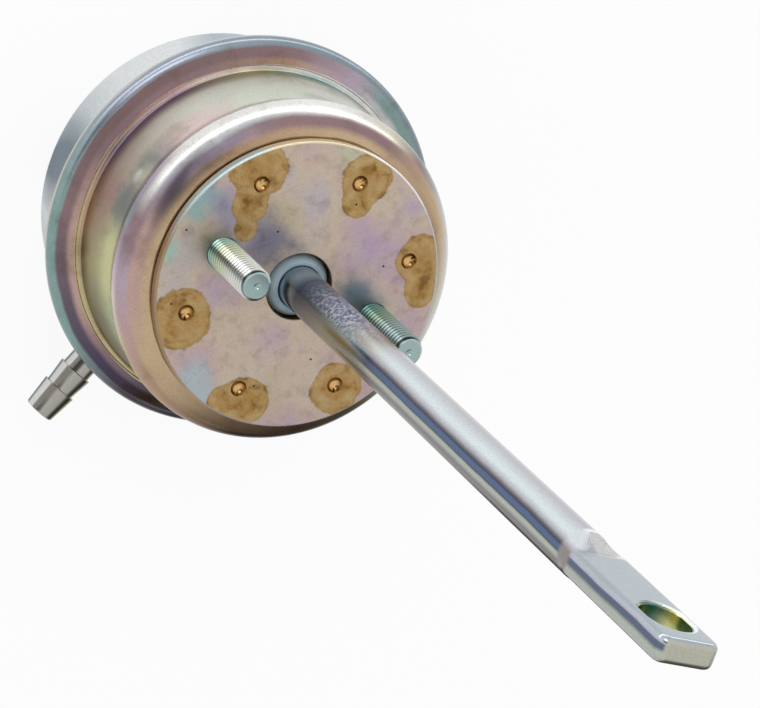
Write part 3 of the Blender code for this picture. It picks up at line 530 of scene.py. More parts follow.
bm = bmesh.new()
point = bm.verts.new((PLATE_HOLE, 0, plate_low.z))
point = line_to(bm, point, (PLATE_HOLE, plate_high.z - HOLE_LIP),
                (PLATE_HOLE + HOLE_LIP, plate_high.z), (plate_high.x - PLATE_EDGE, plate_high.z))
point = arc_to(bm, point, plate_high.x - PLATE_EDGE, plate_high.z - PLATE_EDGE, 90, 5)
line_to(bm, point, (plate_high.x, plate_low.z), (PLATE_HOLE, plate_low.z))
revolve(bm, 192)
blanked_plate = make_object("blanked_plate", bm)

bm = bmesh.new()
ball = (WELD_MOUTH ** 2 + WELD_DEPTH ** 2) / (2 * WELD_DEPTH)
for angle in WELD_ANGLES:
    centre = (WELD_CIRCLE * cos(angle), WELD_CIRCLE * sin(angle), plate_high.z - WELD_DEPTH + ball)
    bmesh.ops.create_uvsphere(bm, u_segments=40, v_segments=24, radius=ball,
                              matrix=Matrix.Translation(centre))
for side in (-1, 1):
    bmesh.ops.create_cone(bm, cap_ends=True, segments=48, radius1=STUD_HOLE, radius2=STUD_HOLE,
                          depth=STUD_HOLE_CUT,
                          matrix=Matrix.Translation((side * STUD_OFFSET, 0, plate_high.z)))
cut_out(blanked_plate, make_object("weld_pits", bm))

# iridescent yellow zinc on flat sheet: a satin rose and sand film with lilac and blue-grey clouds,
# teal round the studs, burnt to dull gold about the welds, and a few pin-head specks
plate_zinc, tree, shader, place = new_material("yellow_zinc_on_blanked_plate", 0.42)
cloud = add_node(tree, "TexNoise", {"Vector": place, "Scale": 1 / (14.29 * MM), "Detail": 4})
tone = add_node(tree, "ValToRGB", {0: cloud}, [(0.3, PLATE_LILAC), (0.42, PLATE_ROSE),
                                               (0.56, PLATE_SAND), (0.7, PLATE_GREY)])
ragged = add_node(tree, "TexNoise", {"Vector": place, "Scale": 1 / (4 * MM), "Detail": 7,
                                     "Roughness": 0.72})
smeared = add_node(tree, "TexNoise", {"Vector": place, "Scale": 1 / (2.38 * MM), "Detail": 5,
                                      "Distortion": 0.3})
for x, y, radius, tint in PLATE_TINTS:
    centre = Vector((x * MM, y * MM, plate_high.z))
    tone = tint_spot(tree, place, tone, centre, tint, cloud, 22 * MM,
                     (0.1 * radius + 10) * MM, (1.2 * radius + 11) * MM)
# how far out of the nearest burnt place a point lies, in that place's own radius
nearest = 3.0
for x, y, radius in BURNT_PLACES:
    centre = Vector((x * MM, y * MM, plate_high.z))
    distance = add_node(tree, "VectorMath", {0: place, 1: centre}, operation="DISTANCE", out=1)
    share = add_node(tree, "Math", {0: distance, 1: radius * MM}, operation="DIVIDE")
    nearest = add_node(tree, "Math", {0: share, 1: nearest, 2: 0.45}, operation="SMOOTH_MIN")
border = add_node(tree, "Math", {0: ragged, 1: 0.5, 2: nearest}, operation="MULTIPLY_ADD")
dapple = add_node(tree, "Math", {0: smeared, 1: ragged}, operation="ADD")
dapple = add_node(tree, "MapRange", {0: dapple, 1: 0.7, 2: 1.3})
gold = add_node(tree, "ValToRGB", {0: dapple}, [(0.1, BURNT_EDGE), (0.4, BURNT_GOLD),
                                                (0.9, BURNT_LIGHT)])
outward = add_node(tree, "MapRange", {0: border, 1: 0.25, 2: 1.25})
fringe = add_node(tree, "ValToRGB", {0: outward}, [
    (0.4, "#f4eadb"), (0.6, "#ffffff"), (0.82, "#ffffff"), (0.9, "#ebe9e4"), (0.98, "#d6d0c4")])
gold = add_node(tree, "Mix", {0: 1.0, 6: gold, 7: fringe}, data_type="RGBA",
                blend_type="MULTIPLY", out=2)
burnt = add_node(tree, "MapRange", {0: border, 1: 1.21, 2: 1.15})
dots = add_node(tree, "TexVoronoi", {"Vector": place, "Scale": 1 / (15.625 * MM)},
                voronoi_dimensions="2D")
speck = add_node(tree, "MapRange", {0: dots, 1: 0.017, 2: 0.009})
smear = add_node(tree, "ValToRGB", {0: smeared}, [(0.3, "#ebe8e6"), (0.5, "#ffffff")])

# the weld pits, sunk below the face, painted dark at their rims as shade and with a painted glint
# at their bottoms, and the plate's rounded edge, with a painted highlight along one side, down to
# painted shade in the gap at its foot
height = add_node(tree, "SeparateXYZ", {0: place}, out="Z")
sunk = add_node(tree, "MapRange", {0: height, 1: plate_high.z - 0.02 * MM,
                                   2: plate_high.z - 0.3 * MM})
from_centre = add_node(tree, "VectorMath", {0: place, 1: Vector((0, 0, plate_high.z))},
                       operation="DISTANCE", out=1)
pit = add_node(tree, "MapRange", {0: from_centre, 1: FLAT_REACH + 0.5 * MM, 2: FLAT_REACH})
pit = add_node(tree, "Math", {0: pit, 1: sunk}, operation="MULTIPLY")
pit_shade_and_glint = add_node(tree, "MapRange", {0: height, 1: plate_high.z, 2: plate_high.z - WELD_DEPTH})
pit_shade_and_glint = add_node(tree, "ValToRGB", {0: pit_shade_and_glint}, [(0.1, PIT_RIM_SHADE), (0.5, PIT_GOLD), (0.9, PIT_GLINT_HIGHLIGHT)])
edge_film_and_highlight = add_node(tree, "ValToRGB", {0: turn_about_rod(tree, place, 0.001)}, turn_stops([
    (-180, EDGE_GREY), (-112, EDGE_GREY), (-104, EDGE_HIGHLIGHT), (-76, EDGE_HIGHLIGHT), (-68, EDGE_GOLD),
    (-36, EDGE_GOLD), (-28, EDGE_TEAL), (4, EDGE_TEAL), (22, EDGE_BROWN), (70, EDGE_BROWN),
    (120, EDGE_GREY)]))
gap = add_node(tree, "MapRange", {0: height, 1: plate_low.z + 0.2 * MM, 2: plate_low.z + 0.1 * MM})
edge_film_and_highlight = add_node(tree, "Mix", {0: gap, 6: edge_film_and_highlight, 7: colour(GAP_SHADE_BROWN)},
                     data_type="RGBA", out=2)
at_edge = add_node(tree, "MapRange", {0: from_centre, 1: plate_high.x - 0.42 * MM,
                                      2: plate_high.x - 0.3 * MM})
for cover, film, blend in ((burnt, gold, "MIX"), (speck, colour(SPECK), "MIX"),
                           (1.0, smear, "MULTIPLY"), (pit, pit_shade_and_glint, "MIX"),
                           (at_edge, edge_film_and_highlight, "MIX")):
    tone = add_node(tree, "Mix", {0: cover, 6: tone, 7: film}, data_type="RGBA",
                    blend_type=blend, out=2)
add_grain(tree, shader, place, tone, 0.3 * MM, 0.004 * MM, 0.3, 0.42)
polish = add_node(tree, "MapRange", {0: pit, 3: 0.36, 4: 0.06})
polish = add_node(tree, "Math", {0: smeared, 1: 0.1, 2: polish}, operation="MULTIPLY_ADD")
tree.links.new(polish, shader.inputs["Roughness"])
blanked_plate.data.materials.append(plate_zinc)
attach(blanked_plate, "canister")
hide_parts("mounting_plate")


# Two M6 studs with rolled threads stand through the plate. Their heads, trapped between the plate
# and the can, don't show and are left out here. Each outer end has a chamfer and a turning centre.
THREAD_PITCH = 1.0 * MM
THREAD_CREST = 2.98 * MM
THREAD_ROOT = 2.42 * MM
STEPS_PER_TURN = 40
# the thread's profile over one pitch: share of the pitch, and radius
THREAD_PROFILE = ((0.1, THREAD_ROOT), (0.44, THREAD_CREST), (0.56, THREAD_CREST),
                  (0.9, THREAD_ROOT), (1.0, THREAD_ROOT))
STUD_CHAMFER = 0.7 * MM
STUD_CENTRE = 0.65 * MM
STUD_BURIED = 0.3 * MM
THREAD_ROOT_SHADE, CREST_SILVER, STUD_TEAL = "#3f4846", "#e6e8e2", "#a9c0bf"
BASE_TEAL, STUD_LIME, STUD_GREY = "#a8cbc2", "#dfe3c4", "#a9bcc0"
stud_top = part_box("stud_left")[1].z

# zinc on a rolled thread: bright crests, painted shade in the roots, teal and darker towards the
# plate, and a teal cast on the cut end
stud_zinc, tree, shader, place = new_material("zinc_on_rolled_thread", 0.24)
folded = add_node(tree, "VectorMath", {0: place}, operation="ABSOLUTE")
beside = add_node(tree, "VectorMath", {0: folded, 1: Vector((STUD_OFFSET, 0, 0))},
                  operation="SUBTRACT")
flat = add_node(tree, "VectorMath", {0: beside, 1: (1, 1, 0)}, operation="MULTIPLY")
from_axis = add_node(tree, "VectorMath", {0: flat}, operation="LENGTH", out=1)
crest = add_node(tree, "MapRange", {0: from_axis, 1: THREAD_ROOT, 2: THREAD_CREST})
tone = add_node(tree, "ValToRGB", {0: crest}, [(0.3, THREAD_ROOT_SHADE), (0.72, CREST_SILVER)])
aside, height = (add_node(tree, "SeparateXYZ", {0: place}, out=axis) for axis in "XZ")
up_stud = add_node(tree, "MapRange", {0: height, 1: plate_high.z, 2: plate_high.z + 14 * MM})
up_stud = add_node(tree, "ValToRGB", {0: up_stud}, [(0.05, BASE_TEAL), (0.35, STUD_LIME),
                                                    (0.8, "#ffffff")])
right_stud = add_node(tree, "MapRange", {0: aside, 1: -MM, 2: MM})
cut_end = add_node(tree, "MapRange", {0: height, 1: stud_top - STUD_CHAMFER,
                                      2: stud_top - 0.4 * MM})
for cover, film, blend in ((1.0, up_stud, "MULTIPLY"), (right_stud, colour(STUD_GREY), "MULTIPLY"),
                           (cut_end, colour(STUD_TEAL), "MIX")):
    tone = add_node(tree, "Mix", {0: cover, 6: tone, 7: film}, data_type="RGBA",
                    blend_type=blend, out=2)
add_grain(tree, shader, place, tone, 0.25 * MM, 0.002 * MM, 0.14, 0.24)

for name, side in (("left", -1), ("right", 1)):
    axis = Vector((side * STUD_OFFSET, 0, 0))
    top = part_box("stud_" + name)[1].z
    bm = bmesh.new()
    line_to(bm, bm.verts.new((THREAD_ROOT, 0, 0)),
            *((radius, share * THREAD_PITCH) for share, radius in THREAD_PROFILE))
    turns = int((top - plate_low.z) / THREAD_PITCH) + 2
    bmesh.ops.spin(bm, geom=bm.verts[:] + bm.edges[:], cent=(0, 0, 0), axis=(0, 0, 1),
                   dvec=(0, 0, THREAD_PITCH / STEPS_PER_TURN), angle=2 * pi * turns,
                   steps=STEPS_PER_TURN * turns)
    bmesh.ops.remove_doubles(bm, verts=bm.verts, dist=0.002 * MM)
    bmesh.ops.translate(bm, verts=bm.verts, vec=axis + Vector((0, 0, plate_low.z - THREAD_PITCH)))
    for level, up in ((top, 1), (plate_low.z + STUD_BURIED, -1)):
        everything = bm.verts[:] + bm.edges[:] + bm.faces[:]
        sliced = bmesh.ops.bisect_plane(bm, geom=everything, plane_co=(0, 0, level),
                                        plane_no=(0, 0, up), clear_outer=True)
        rim_edges = [g for g in sliced["geom_cut"] if isinstance(g, bmesh.types.BMEdge)]
        bmesh.ops.contextual_create(bm, geom=rim_edges)
    for vert in bm.verts:
        out = Vector((vert.co.x - axis.x, vert.co.y, 0))
        limit = THREAD_CREST - max(0, vert.co.z - (top - STUD_CHAMFER))
        if out.length > limit:
            out *= limit / out.length
            vert.co.x, vert.co.y = axis.x + out.x, out.y
    bmesh.ops.recalc_face_normals(bm, faces=bm.faces)
    stud = make_object("threaded_stud_" + name, bm, 40)
    bm = bmesh.new()
    bmesh.ops.create_cone(bm, cap_ends=True, segments=24, radius1=0, radius2=2 * STUD_CENTRE,
                          depth=2 * STUD_CENTRE,
                          matrix=Matrix.Translation(axis + Vector((0, 0, top))))
    cut_out(stud, make_object("centre_drill", bm), 40)
    stud.data.materials.append(stud_zinc)
    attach(stud, "canister")
    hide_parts("stud_" + name)


# The rod is one piece of cold-headed steel: a peened tail inside the can, a round bar, and an end
# forged flat and pierced with a slotted eye for the lever's pin.
ROD_RADIUS = 4.0 * MM
EYE_TURN = radians(9.6)
EYE_LENGTH = 29.0 * MM
EYE_TAPER = 4.0 * MM
EYE_HALF_WIDTH = 5.2 * MM
EYE_HALF_THICKNESS = 2.1 * MM
EYE_EDGE = 1.1 * MM
EYE_TIP_CORNER = 1.8 * MM
EYE_HOLE = 3.7 * MM
EYE_HOLE_STRETCH = 1.1 * MM
rod_low, rod_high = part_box("rod")
EYE_HOLE_CENTRE = rod_high.z - 8.3 * MM
EYE_CHAMFER = 0.45 * MM
ROD_SHOULDER = 8.5 * MM
TENON_RADIUS = 3.0 * MM
TAIL_HEAD = 3.0 * MM
TAIL_RADIUS = 4.8 * MM
TAIL_CHAMFER = 0.7 * MM


def extrude_loop(bm, edges):
    """Extrudes a closed loop of edges; gives the new loop's edges and its vertices."""
    grown = bmesh.ops.extrude_edge_only(bm, edges=edges)["geom"]
    verts = [g for g in grown if isinstance(g, bmesh.types.BMVert)]
    return [g for g in grown if isinstance(g, bmesh.types.BMEdge)
            and all(v in verts for v in g.verts)], verts


bm = bmesh.new()
eye_bottom = rod_high.z - EYE_LENGTH
blank = bmesh.ops.create_cube(bm, size=1.0)["verts"]
bmesh.ops.scale(bm, verts=blank, vec=(2 * EYE_HALF_WIDTH, 2 * EYE_HALF_THICKNESS, EYE_LENGTH))
bmesh.ops.translate(bm, verts=blank, vec=(0, 0, eye_bottom + EYE_LENGTH / 2))
tip_corners = [e for e in bm.edges if abs(e.verts[0].co.y - e.verts[1].co.y) > EYE_HALF_THICKNESS
               and e.verts[0].co.z > eye_bottom + EYE_LENGTH / 2]
bmesh.ops.bevel(bm, geom=tip_corners, offset=EYE_TIP_CORNER, segments=6, profile=0.5,
                affect="EDGES", material=-1)
face_edges = [e for e in bm.edges if abs(e.verts[0].co.y - e.verts[1].co.y) < EYE_EDGE / 10
              and max(v.co.z for v in e.verts) > eye_bottom + EYE_EDGE / 10]
bmesh.ops.bevel(bm, geom=face_edges, offset=EYE_EDGE, segments=5, profile=0.5, affect="EDGES",
                material=-1)
bottom = [f for f in bm.faces if all(v.co.z < eye_bottom + EYE_EDGE / 10 for v in f.verts)]
bmesh.ops.delete(bm, geom=bottom, context="FACES_ONLY")
for shortest, cuts in ((2 * EYE_EDGE, 17), (EYE_EDGE, 3)):
    runs = [e for e in bm.edges if e.is_boundary and e.calc_length() > shortest]
    bmesh.ops.subdivide_edges(bm, edges=runs, cuts=cuts)
eye_loop = [e for e in bm.edges if e.is_boundary]
ring = bmesh.ops.create_circle(bm, segments=len(eye_loop), radius=ROD_RADIUS)["verts"]
bmesh.ops.translate(bm, verts=ring, vec=(0, 0, eye_bottom - EYE_TAPER))
bar_loop = [e for e in bm.edges if e.is_wire]
bmesh.ops.bridge_loops(bm, edges=eye_loop + bar_loop)
for level, radius in ((ROD_SHOULDER, ROD_RADIUS), (ROD_SHOULDER, TENON_RADIUS),
                      (TAIL_HEAD, TENON_RADIUS), (TAIL_HEAD, TAIL_RADIUS),
                      (rod_low.z + TAIL_CHAMFER, TAIL_RADIUS),
                      (rod_low.z, TAIL_RADIUS - TAIL_CHAMFER)):
    bar_loop, ring = extrude_loop(bm, bar_loop)
    for vert in ring:
        vert.co = vert.co.to_2d().normalized().to_3d() * radius + Vector((0, 0, level))
bmesh.ops.contextual_create(bm, geom=bar_loop)
bmesh.ops.recalc_face_normals(bm, faces=bm.faces)
bmesh.ops.rotate(bm, verts=bm.verts, cent=(0, 0, 0), matrix=Matrix.Rotation(EYE_TURN, 3, "Z"))
forged_rod = make_object("forged_rod", bm, 40)

bm = bmesh.new()
flare = 3 * EYE_CHAMFER
mouth = 1 + flare / EYE_HOLE
slot = bmesh.ops.create_circle(bm, segments=64, radius=EYE_HOLE * mouth)["verts"]
for vert in slot:
    vert.co.y += EYE_HOLE_STRETCH if vert.co.y > 0 else -EYE_HOLE_STRETCH
bmesh.ops.translate(bm, verts=slot, vec=(0, 0, EYE_CHAMFER - flare - EYE_HALF_THICKNESS))
edges = bm.edges[:]
bmesh.ops.contextual_create(bm, geom=edges)
for rise, widen in ((flare, 1 / mouth), (2 * (EYE_HALF_THICKNESS - EYE_CHAMFER), 1),
                    (flare, mouth)):
    edges, slot = extrude_loop(bm, edges)
    bmesh.ops.translate(bm, verts=slot, vec=(0, 0, rise))
    bmesh.ops.scale(bm, verts=slot, vec=(widen, widen, 1))
bmesh.ops.contextual_create(bm, geom=edges)
bmesh.ops.recalc_face_normals(bm, faces=bm.faces)
bmesh.ops.transform(bm, verts=bm.verts, matrix=Matrix.Rotation(EYE_TURN, 4, "Z")
                    @ Matrix.Translation((0, 0, EYE_HOLE_CENTRE)) @ Matrix.Rotation(pi / 2, 4, "X"))
cut_out(forged_rod, make_object("eye_punch", bm), 40)
weighted = forged_rod.modifiers.new("flat_faces", "WEIGHTED_NORMAL")
weighted.keep_sharp = True

# many of the rod's colours are painted light: highlights, reflected streaks, reflections of the
# plate and bush, and shade at the root and in the eye
ROD_HIGHLIGHT_SILVER, ROD_PEARL, ROD_GREY_REFLECTION, ROD_OLIVE = "#dfe9ec", "#beb7be", "#787370", "#b8c0b6"
ROD_SHADE, REFLECTED_STREAK_BLUE, REFLECTED_STREAK_DARK, REFLECTED_STREAK_EDGE = "#b9babf", "#5f7294", "#4b4c60", "#7d777c"
ROD_WARM, ROOT_SHADE_DARK = "#b0b6ab", "#5f6d80"
FROST_VIOLET, FROST_WHITE, FROST_BLUE = "#5b5e94", "#d0dae4", "#8d99b2"
EYE_BLUE, EYE_LILAC_HIGHLIGHT, EYE_REFLECTED_STREAK, FACET_HIGHLIGHT = "#adb8bf", "#c4c8d4", "#6a6c7a", "#ffffff"
NECK_BLUE, NECK_GREY, ROOT_SHADE_BLUE, ROOT_PALE_REFLECTION = "#dde2e8", "#9a9491", "#466078", "#a6bac6"
HOLE_OLIVE, HOLE_GREEN, HOLE_SHADE_DARK, END_OLIVE = "#cbc888", "#94bdae", "#47685d", "#c3c4b4"
PLATE_BROWN_REFLECTION, COVERED, BARE = "#453c34", "#ffffff", "#000000"
# the film round the rod, by turn, with painted light in it: along the bar, on the eye, where the
# bar runs into the eye, near the can, and at its root. Silver, lilac and white stops are painted
# highlights, the blue streak and the grey far side painted dark reflections, and the root's dark
# painted shade.
BAR_FILM_AND_REFLECTIONS = (
    (-180, ROD_SHADE), (-100, ROD_PEARL), (-80, ROD_PEARL), (-58, ROD_SHADE), (-22, ROD_HIGHLIGHT_SILVER),
    (-14, ROD_HIGHLIGHT_SILVER), (0, ROD_SHADE), (7, REFLECTED_STREAK_EDGE), (12, REFLECTED_STREAK_DARK), (17, REFLECTED_STREAK_BLUE),
    (26, REFLECTED_STREAK_BLUE), (29, REFLECTED_STREAK_DARK), (34, ROD_OLIVE), (40, ROD_OLIVE), (52, ROD_GREY_REFLECTION),
    (80, ROD_GREY_REFLECTION), (96, ROD_SHADE))
EYE_FILM_AND_REFLECTIONS = (
    (-180, ROD_OLIVE), (-110, EYE_BLUE), (5, EYE_BLUE), (10, EYE_LILAC_HIGHLIGHT), (14, EYE_LILAC_HIGHLIGHT),
    (17, EYE_REFLECTED_STREAK), (21, REFLECTED_STREAK_BLUE), (25, EYE_REFLECTED_STREAK), (32, ROD_OLIVE))
NECK_FILM_AND_HIGHLIGHT = (
    (-180, ROD_SHADE), (-130, FACET_HIGHLIGHT), (-54, FACET_HIGHLIGHT), (-42, NECK_BLUE), (-8, NECK_BLUE),
    (12, NECK_GREY), (60, NECK_GREY))
CAN_END_FILM_AND_REFLECTIONS = (
    (-180, ROD_SHADE), (-90, ROD_PEARL), (0, ROD_HIGHLIGHT_SILVER), (24, ROD_WARM), (110, ROD_WARM))
ROOT_FILM_AND_SHADE = (
    (-180, ROD_SHADE), (-130, ROD_SHADE), (-105, ROOT_SHADE_DARK), (30, ROOT_SHADE_DARK), (60, ROOT_SHADE_BLUE),
    (110, ROOT_SHADE_BLUE), (130, ROD_SHADE))
# where the painted reflection of the plate's brown lies on the lower side, and where the frosted
# patch lies on the upper
LOWER_SIDE = ((-180, BARE), (48, BARE), (68, COVERED), (110, COVERED), (125, BARE))
UPPER_SIDE = ((-110, BARE), (-60, COVERED), (0, COVERED), (14, BARE))

# smooth clear zinc on forged steel: silver with a painted highlight and a thin dark blue line down
# one side that is a painted reflection, a frosted violet patch near the can, painted shade and a
# pale painted reflection at its root, olive on the cut end, and green and gold in the pierced eye
# as painted light and shade
rod_zinc, tree, shader, place = new_material("zinc_on_forged_rod", 0.24)
level = add_node(tree, "SeparateXYZ", {0: place}, out="Z")
around = turn_about_rod(tree, place, 0.00025)
tone, eye_film_and_reflections, neck_film_and_highlight, can_end_film_and_reflections, root_film_and_shade, lower_side, upper_side = (
    add_node(tree, "ValToRGB", {0: around}, turn_stops(stops)) for stops in
    (BAR_FILM_AND_REFLECTIONS, EYE_FILM_AND_REFLECTIONS, NECK_FILM_AND_HIGHLIGHT, CAN_END_FILM_AND_REFLECTIONS, ROOT_FILM_AND_SHADE, LOWER_SIDE, UPPER_SIDE))
# each zone of the rod: the height it starts at, the height it is full at, and how strong it is
on_eye, brown, can_end, patch, root, foot, at_end = (
    add_node(tree, "MapRange", {0: level, 1: start, 2: full, 4: most})
    for start, full, most in (
        (eye_bottom - 2 * MM, eye_bottom, 1.0), (104 * MM, 96 * MM, 0.85),
        (92 * MM, 84 * MM, 1.0), (90 * MM, 78 * MM, 0.9), (72 * MM, 60 * MM, 1.0),
        (59.5 * MM, 56 * MM, 1.0), (rod_high.z - 0.35 * MM, rod_high.z - 0.1 * MM, 1.0)))
neck = add_node(tree, "Math", {0: level, 1: eye_bottom - 2.4 * MM}, operation="SUBTRACT")
neck = add_node(tree, "Math", {0: neck}, operation="ABSOLUTE")
neck = add_node(tree, "MapRange", {0: neck, 1: 3.0 * MM, 2: 2.0 * MM})
crystals = add_node(tree, "TexNoise", {"Vector": place, "Scale": 1 / (0.769 * MM), "Detail": 6,
                                       "Roughness": 0.7})
frost = add_node(tree, "ValToRGB", {0: crystals}, [(0.42, FROST_VIOLET), (0.5, FROST_BLUE),
                                                   (0.58, FROST_WHITE)])

# the slotted eye in its own axes: its distance from the slot's middle line gives the pierced wall,
# painted dark at one end as shade and lighter olive and green towards the other, and the chamfer,
# whose painted highlight is only on its far side
straight = add_node(tree, "Mapping", {"Vector": place, "Rotation": (0, 0, -EYE_TURN),
                                      "Location": (0, 0, -EYE_HOLE_CENTRE)})
aside, along_slot = (add_node(tree, "SeparateXYZ", {0: straight}, out=axis) for axis in "XZ")
up_slot = add_node(tree, "Math", {0: along_slot}, operation="ABSOLUTE")
up_slot = add_node(tree, "Math", {0: up_slot, 1: EYE_HOLE_STRETCH}, operation="SUBTRACT")
up_slot = add_node(tree, "Math", {0: up_slot, 1: 0.0}, operation="MAXIMUM")
across = add_node(tree, "CombineXYZ", {0: aside, 2: up_slot})
from_hole = add_node(tree, "VectorMath", {0: across}, operation="LENGTH", out=1)
in_hole, chamfer = (
    add_node(tree, "MapRange", {0: from_hole, 1: EYE_HOLE + far, 2: EYE_HOLE + near})
    for far, near in ((0.08 * MM, 0.03 * MM), (0.6 * MM, 0.4 * MM)))
far_side = add_node(tree, "MapRange", {0: aside, 1: -0.5 * MM, 2: 1.5 * MM})
wall = add_node(tree, "MapRange", {0: along_slot, 1: -4.8 * MM, 2: 3.2 * MM})
wall = add_node(tree, "ValToRGB", {0: wall}, [(0.04, HOLE_SHADE_DARK), (0.2, HOLE_OLIVE),
                                              (0.6, HOLE_OLIVE), (0.9, HOLE_GREEN)])

brown, patch, chamfer = (
    add_node(tree, "Math", {0: zone, 1: side}, operation="MULTIPLY")
    for zone, side in ((brown, lower_side), (patch, upper_side), (chamfer, far_side)))
# the plate's brown is a painted reflection, the root's dark painted shade and the pale at the foot
# a painted reflection
for cover, film in ((on_eye, eye_film_and_reflections), (neck, neck_film_and_highlight), (brown, colour(PLATE_BROWN_REFLECTION)),
                    (can_end, can_end_film_and_reflections), (patch, frost), (root, root_film_and_shade),
                    (foot, colour(ROOT_PALE_REFLECTION)), (chamfer, colour(FACET_HIGHLIGHT)), (in_hole, wall),
                    (at_end, colour(END_OLIVE))):
    tone = add_node(tree, "Mix", {0: cover, 6: tone, 7: film}, data_type="RGBA", out=2)
add_grain(tree, shader, place, tone, 0.4 * MM, 0.0004 * MM, 0.15, 0.22)
frosted = add_node(tree, "MapRange", {0: patch, 1: 0.0, 2: 0.9, 3: 0.18, 4: 0.5})
tree.links.new(frosted, shader.inputs["Roughness"])
forged_rod.data.materials.append(rod_zinc)
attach(forged_rod, "rod_and_piston")
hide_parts("rod")


# Pieces inside the case keep their CAD shapes: pressed and plain steel rings, a wound spring and
# moulded rubber. The spring and the diaphragm are copied into pieces of their own. None shows
# unless the case is opened.

# each finish: its pieces, dark and light colour, metallic, roughness from and to, grain
HIDDEN_FINISHES = {
    "oiled_pressed_steel": (("bush_retainer", "spring_seat", "diaphragm_retainer", "piston",
                             "piston_washer"), "#8f8e88", "#a8a7a2", 1.0, 0.3, 0.45, 0.5 * MM),
    "oiled_spring_wire": (("spring",), "#4c4e52", "#65676b", 1.0, 0.25, 0.4, 0.3 * MM),
    "moulded_black_rubber": (("diaphragm", "rod_seal"), "#1c1c1d", "#2a2a2b", 0.0, 0.6, 0.8,
                             0.2 * MM),
}
# for the spring and the diaphragm: its name, the height above which it is to stay with the can, the
# height below which it is to move with the piston, and its slot; only the name is used here
GIVING_PIECES = {"spring": ("wound_spring", 44.0 * MM, 9.8 * MM, "spring_steel"),
                 "diaphragm": ("rolling_diaphragm", 25.8 * MM, 9.5 * MM, "diaphragm_rubber")}

# oiled steel and moulded rubber: each is dull and clouded a little, as an unplated surface is
for finish, (nodes, dark, light, metallic, smooth, rough, grain) in HIDDEN_FINISHES.items():
    hidden, tree, shader, place = new_material(finish, rough, metallic)
    cloud = add_node(tree, "TexNoise", {"Vector": place, "Scale": 1 / (5 * MM), "Detail": 4})
    tone = add_node(tree, "ValToRGB", {0: cloud}, [(0.35, dark), (0.65, light)])
    add_grain(tree, shader, place, tone, grain, 0.01 * MM, smooth, rough)
    for node in nodes:
        if node not in GIVING_PIECES:
            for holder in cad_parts[node].material_slots:
                holder.material = hidden
            continue
        name, still, moving, slot = GIVING_PIECES[node]
        bm = bmesh.new()
        bm.from_mesh(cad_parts[node].data)
        bmesh.ops.remove_doubles(bm, verts=bm.verts, dist=0.001 * MM)
        giving = make_object(name, bm)
        giving.data.materials.append(hidden)
        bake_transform(giving)
        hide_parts(node)


# Stage: a plain pale floor under the rear face, soft light from above and from one side, and a
# camera where the photo's stood. The side across from the lamps is darker, as the photo shows.
# the dim floor colour is a painted shadow, seen only in what the metal mirrors
FLOOR_WHITE, FLOOR_SHADOW, DIM_ROOM, DIM_OPENING = "#f4f4f4", "#5a5550", "#5c5a58", "#77787c"
FLOOR_SIZE = 3.0
LAMP_SIDE = Vector((-0.743, 0.669, 0.0))
BRIGHT_SIDE = Vector((0.26, 0.966, 0))
OPENING = Vector((-0.5075, 0.1554, 0.75)).normalized()
CAMERA_AIM = Vector((-18.9, 7.0, 119.9)) * MM
CAMERA_DIRECTION = Vector((-0.5075, 0.1554, 0.8475))
CAMERA_DISTANCE = 480 * MM
CAMERA_ROLL = radians(133.2)
CAMERA_LENS = 143.6
# each lamp: its name, place, width and height (m), and power (W)
LAMPS = (("strip", (-0.12, 0.33, 0.036), 1.2, 0.07, 0.6),
         ("key", (-0.9, 0.9, 1.4), 0.9, 0.9, 5.0))
LAMP_AIM = Vector((0, 0, 0.05))

bm = bmesh.new()
bmesh.ops.create_grid(bm, x_segments=1, y_segments=1, size=FLOOR_SIZE)
floor = make_object("floor", bm)

# painted floor, white to the camera; what the metal mirrors of it is painted brighter on the lamps'
# side and dim across from them, with a painted shadow of the case further out across from the lamps
floor_paint, tree, shader, place = new_material("white_floor", 0.9, 0.0)
shader.inputs["Base Color"].default_value = colour(FLOOR_WHITE)
camera_ray, glossy_ray = (add_node(tree, "LightPath", out=ray)
                          for ray in ("Is Camera Ray", "Is Glossy Ray"))
seen = add_node(tree, "Math", {0: camera_ray, 1: 0.9}, operation="MULTIPLY")
nearer = add_node(tree, "VectorMath", {0: place, 1: BRIGHT_SIDE}, operation="DOT_PRODUCT", out=1)
mirrored = add_node(tree, "MapRange", {0: nearer, 1: -0.03, 2: 0.04, 3: 0.4, 4: 0.95},
                    interpolation_type="SMOOTHSTEP")
away = add_node(tree, "VectorMath", {0: place}, operation="NORMALIZE")
away = add_node(tree, "VectorMath", {0: away, 1: LAMP_SIDE}, operation="DOT_PRODUCT", out=1)
away = add_node(tree, "MapRange", {0: away, 1: -0.8, 2: -0.96})
apart = add_node(tree, "VectorMath", {0: place}, operation="LENGTH", out=1)
apart = add_node(tree, "MapRange", {0: apart, 1: 70 * MM, 2: 105 * MM})
painted_shadow = add_node(tree, "Math", {0: away, 1: apart}, operation="MULTIPLY")
painted_shadow = add_node(tree, "Math", {0: painted_shadow, 1: glossy_ray}, operation="MULTIPLY")
glowing = add_node(tree, "Math", {0: glossy_ray, 1: mirrored, 2: seen}, operation="MULTIPLY_ADD")
glowing = add_node(tree, "Math", {0: glowing, 1: painted_shadow}, operation="MAXIMUM")
shade = add_node(tree, "Mix", {0: painted_shadow, 6: colour("#ffffff"), 7: colour(FLOOR_SHADOW)},
                 data_type="RGBA", out=2)
glow = add_node(tree, "Emission", {"Color": shade, "Strength": 1.0})
mixed = add_node(tree, "MixShader", {0: glowing, 1: shader.outputs[0], 2: glow})
tree.links.new(mixed, tree.nodes["Material Output"].inputs[0])
floor.data.materials.append(floor_paint)

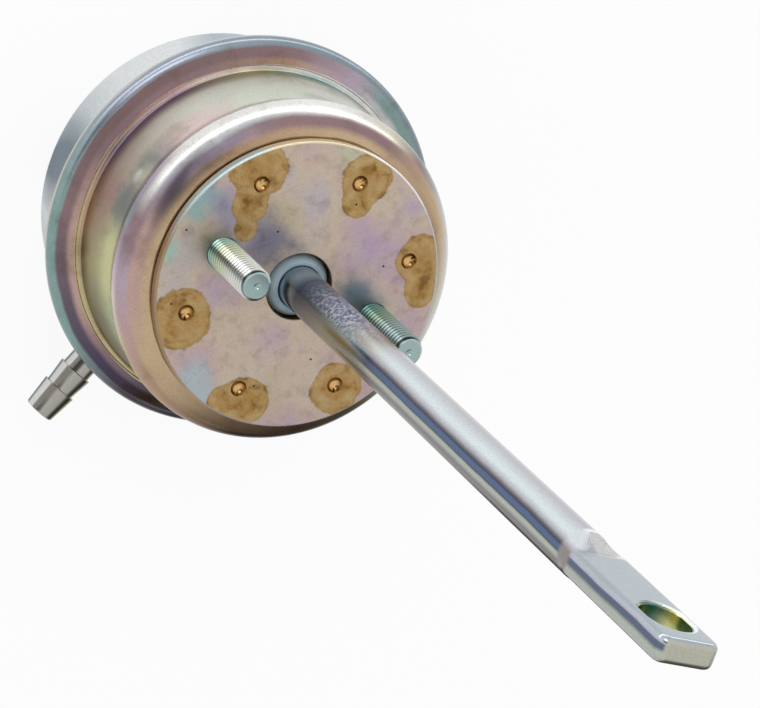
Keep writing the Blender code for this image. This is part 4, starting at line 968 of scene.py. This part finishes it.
# the studio is light on the side of the lamps and darker across from them
world = bpy.data.worlds.new("studio")
bpy.context.scene.world = world
world.use_nodes = True
tree = world.node_tree
direction = add_node(tree, "TexCoord", out="Generated")
towards = add_node(tree, "VectorMath", {0: direction, 1: LAMP_SIDE}, operation="DOT_PRODUCT", out=1)
room = add_node(tree, "MapRange", {0: towards, 1: -1.0, 2: 1.0})
room = add_node(tree, "ValToRGB", {0: room}, [
    (0.0, DIM_ROOM), (0.04, "#7c7a78"), (0.13, "#e4e4e4"), (0.6, "#f6f6f6"), (1.0, "#ffffff")])
opening = add_node(tree, "VectorMath", {0: direction, 1: OPENING}, operation="DOT_PRODUCT", out=1)
dim = add_node(tree, "MapRange", {0: opening, 1: cos(radians(30)), 2: cos(radians(9))},
               interpolation_type="SMOOTHSTEP")
room = add_node(tree, "Mix", {0: dim, 6: room, 7: colour(DIM_OPENING)}, data_type="RGBA", out=2)
camera_ray = add_node(tree, "LightPath", out="Is Camera Ray")
white = add_node(tree, "Mix", {0: camera_ray, 6: room, 7: colour("#ffffff")},
                 data_type="RGBA", out=2)
background = tree.nodes["Background"]
tree.links.new(white, background.inputs["Color"])
background.inputs["Strength"].default_value = 1.0

for name, stand, width, height, power in LAMPS:
    light = bpy.data.lights.new(name, "AREA")
    light.shape = "RECTANGLE"
    light.size, light.size_y = width, height
    light.energy = power
    lamp = bpy.data.objects.new(name, light)
    lamp.location = stand
    lamp.rotation_euler = (LAMP_AIM - Vector(stand)).to_track_quat("-Z", "Y").to_euler()
    lamp.visible_camera = False
    bpy.context.scene.collection.objects.link(lamp)

lens = bpy.data.cameras.new("photo_camera")
lens.lens = CAMERA_LENS
lens.sensor_width = 36
lens.clip_start = 0.01
camera = bpy.data.objects.new("photo_camera", lens)
facing = CAMERA_DIRECTION.to_track_quat("Z", "Y").to_matrix() @ Matrix.Rotation(CAMERA_ROLL, 3, "Z")
camera.matrix_world = (Matrix.Translation(CAMERA_AIM + CAMERA_DIRECTION.normalized()
                                          * CAMERA_DISTANCE) @ facing.to_4x4())
bpy.context.scene.collection.objects.link(camera)
bpy.context.scene.camera = camera
bpy.context.scene.view_settings.view_transform = "Standard"
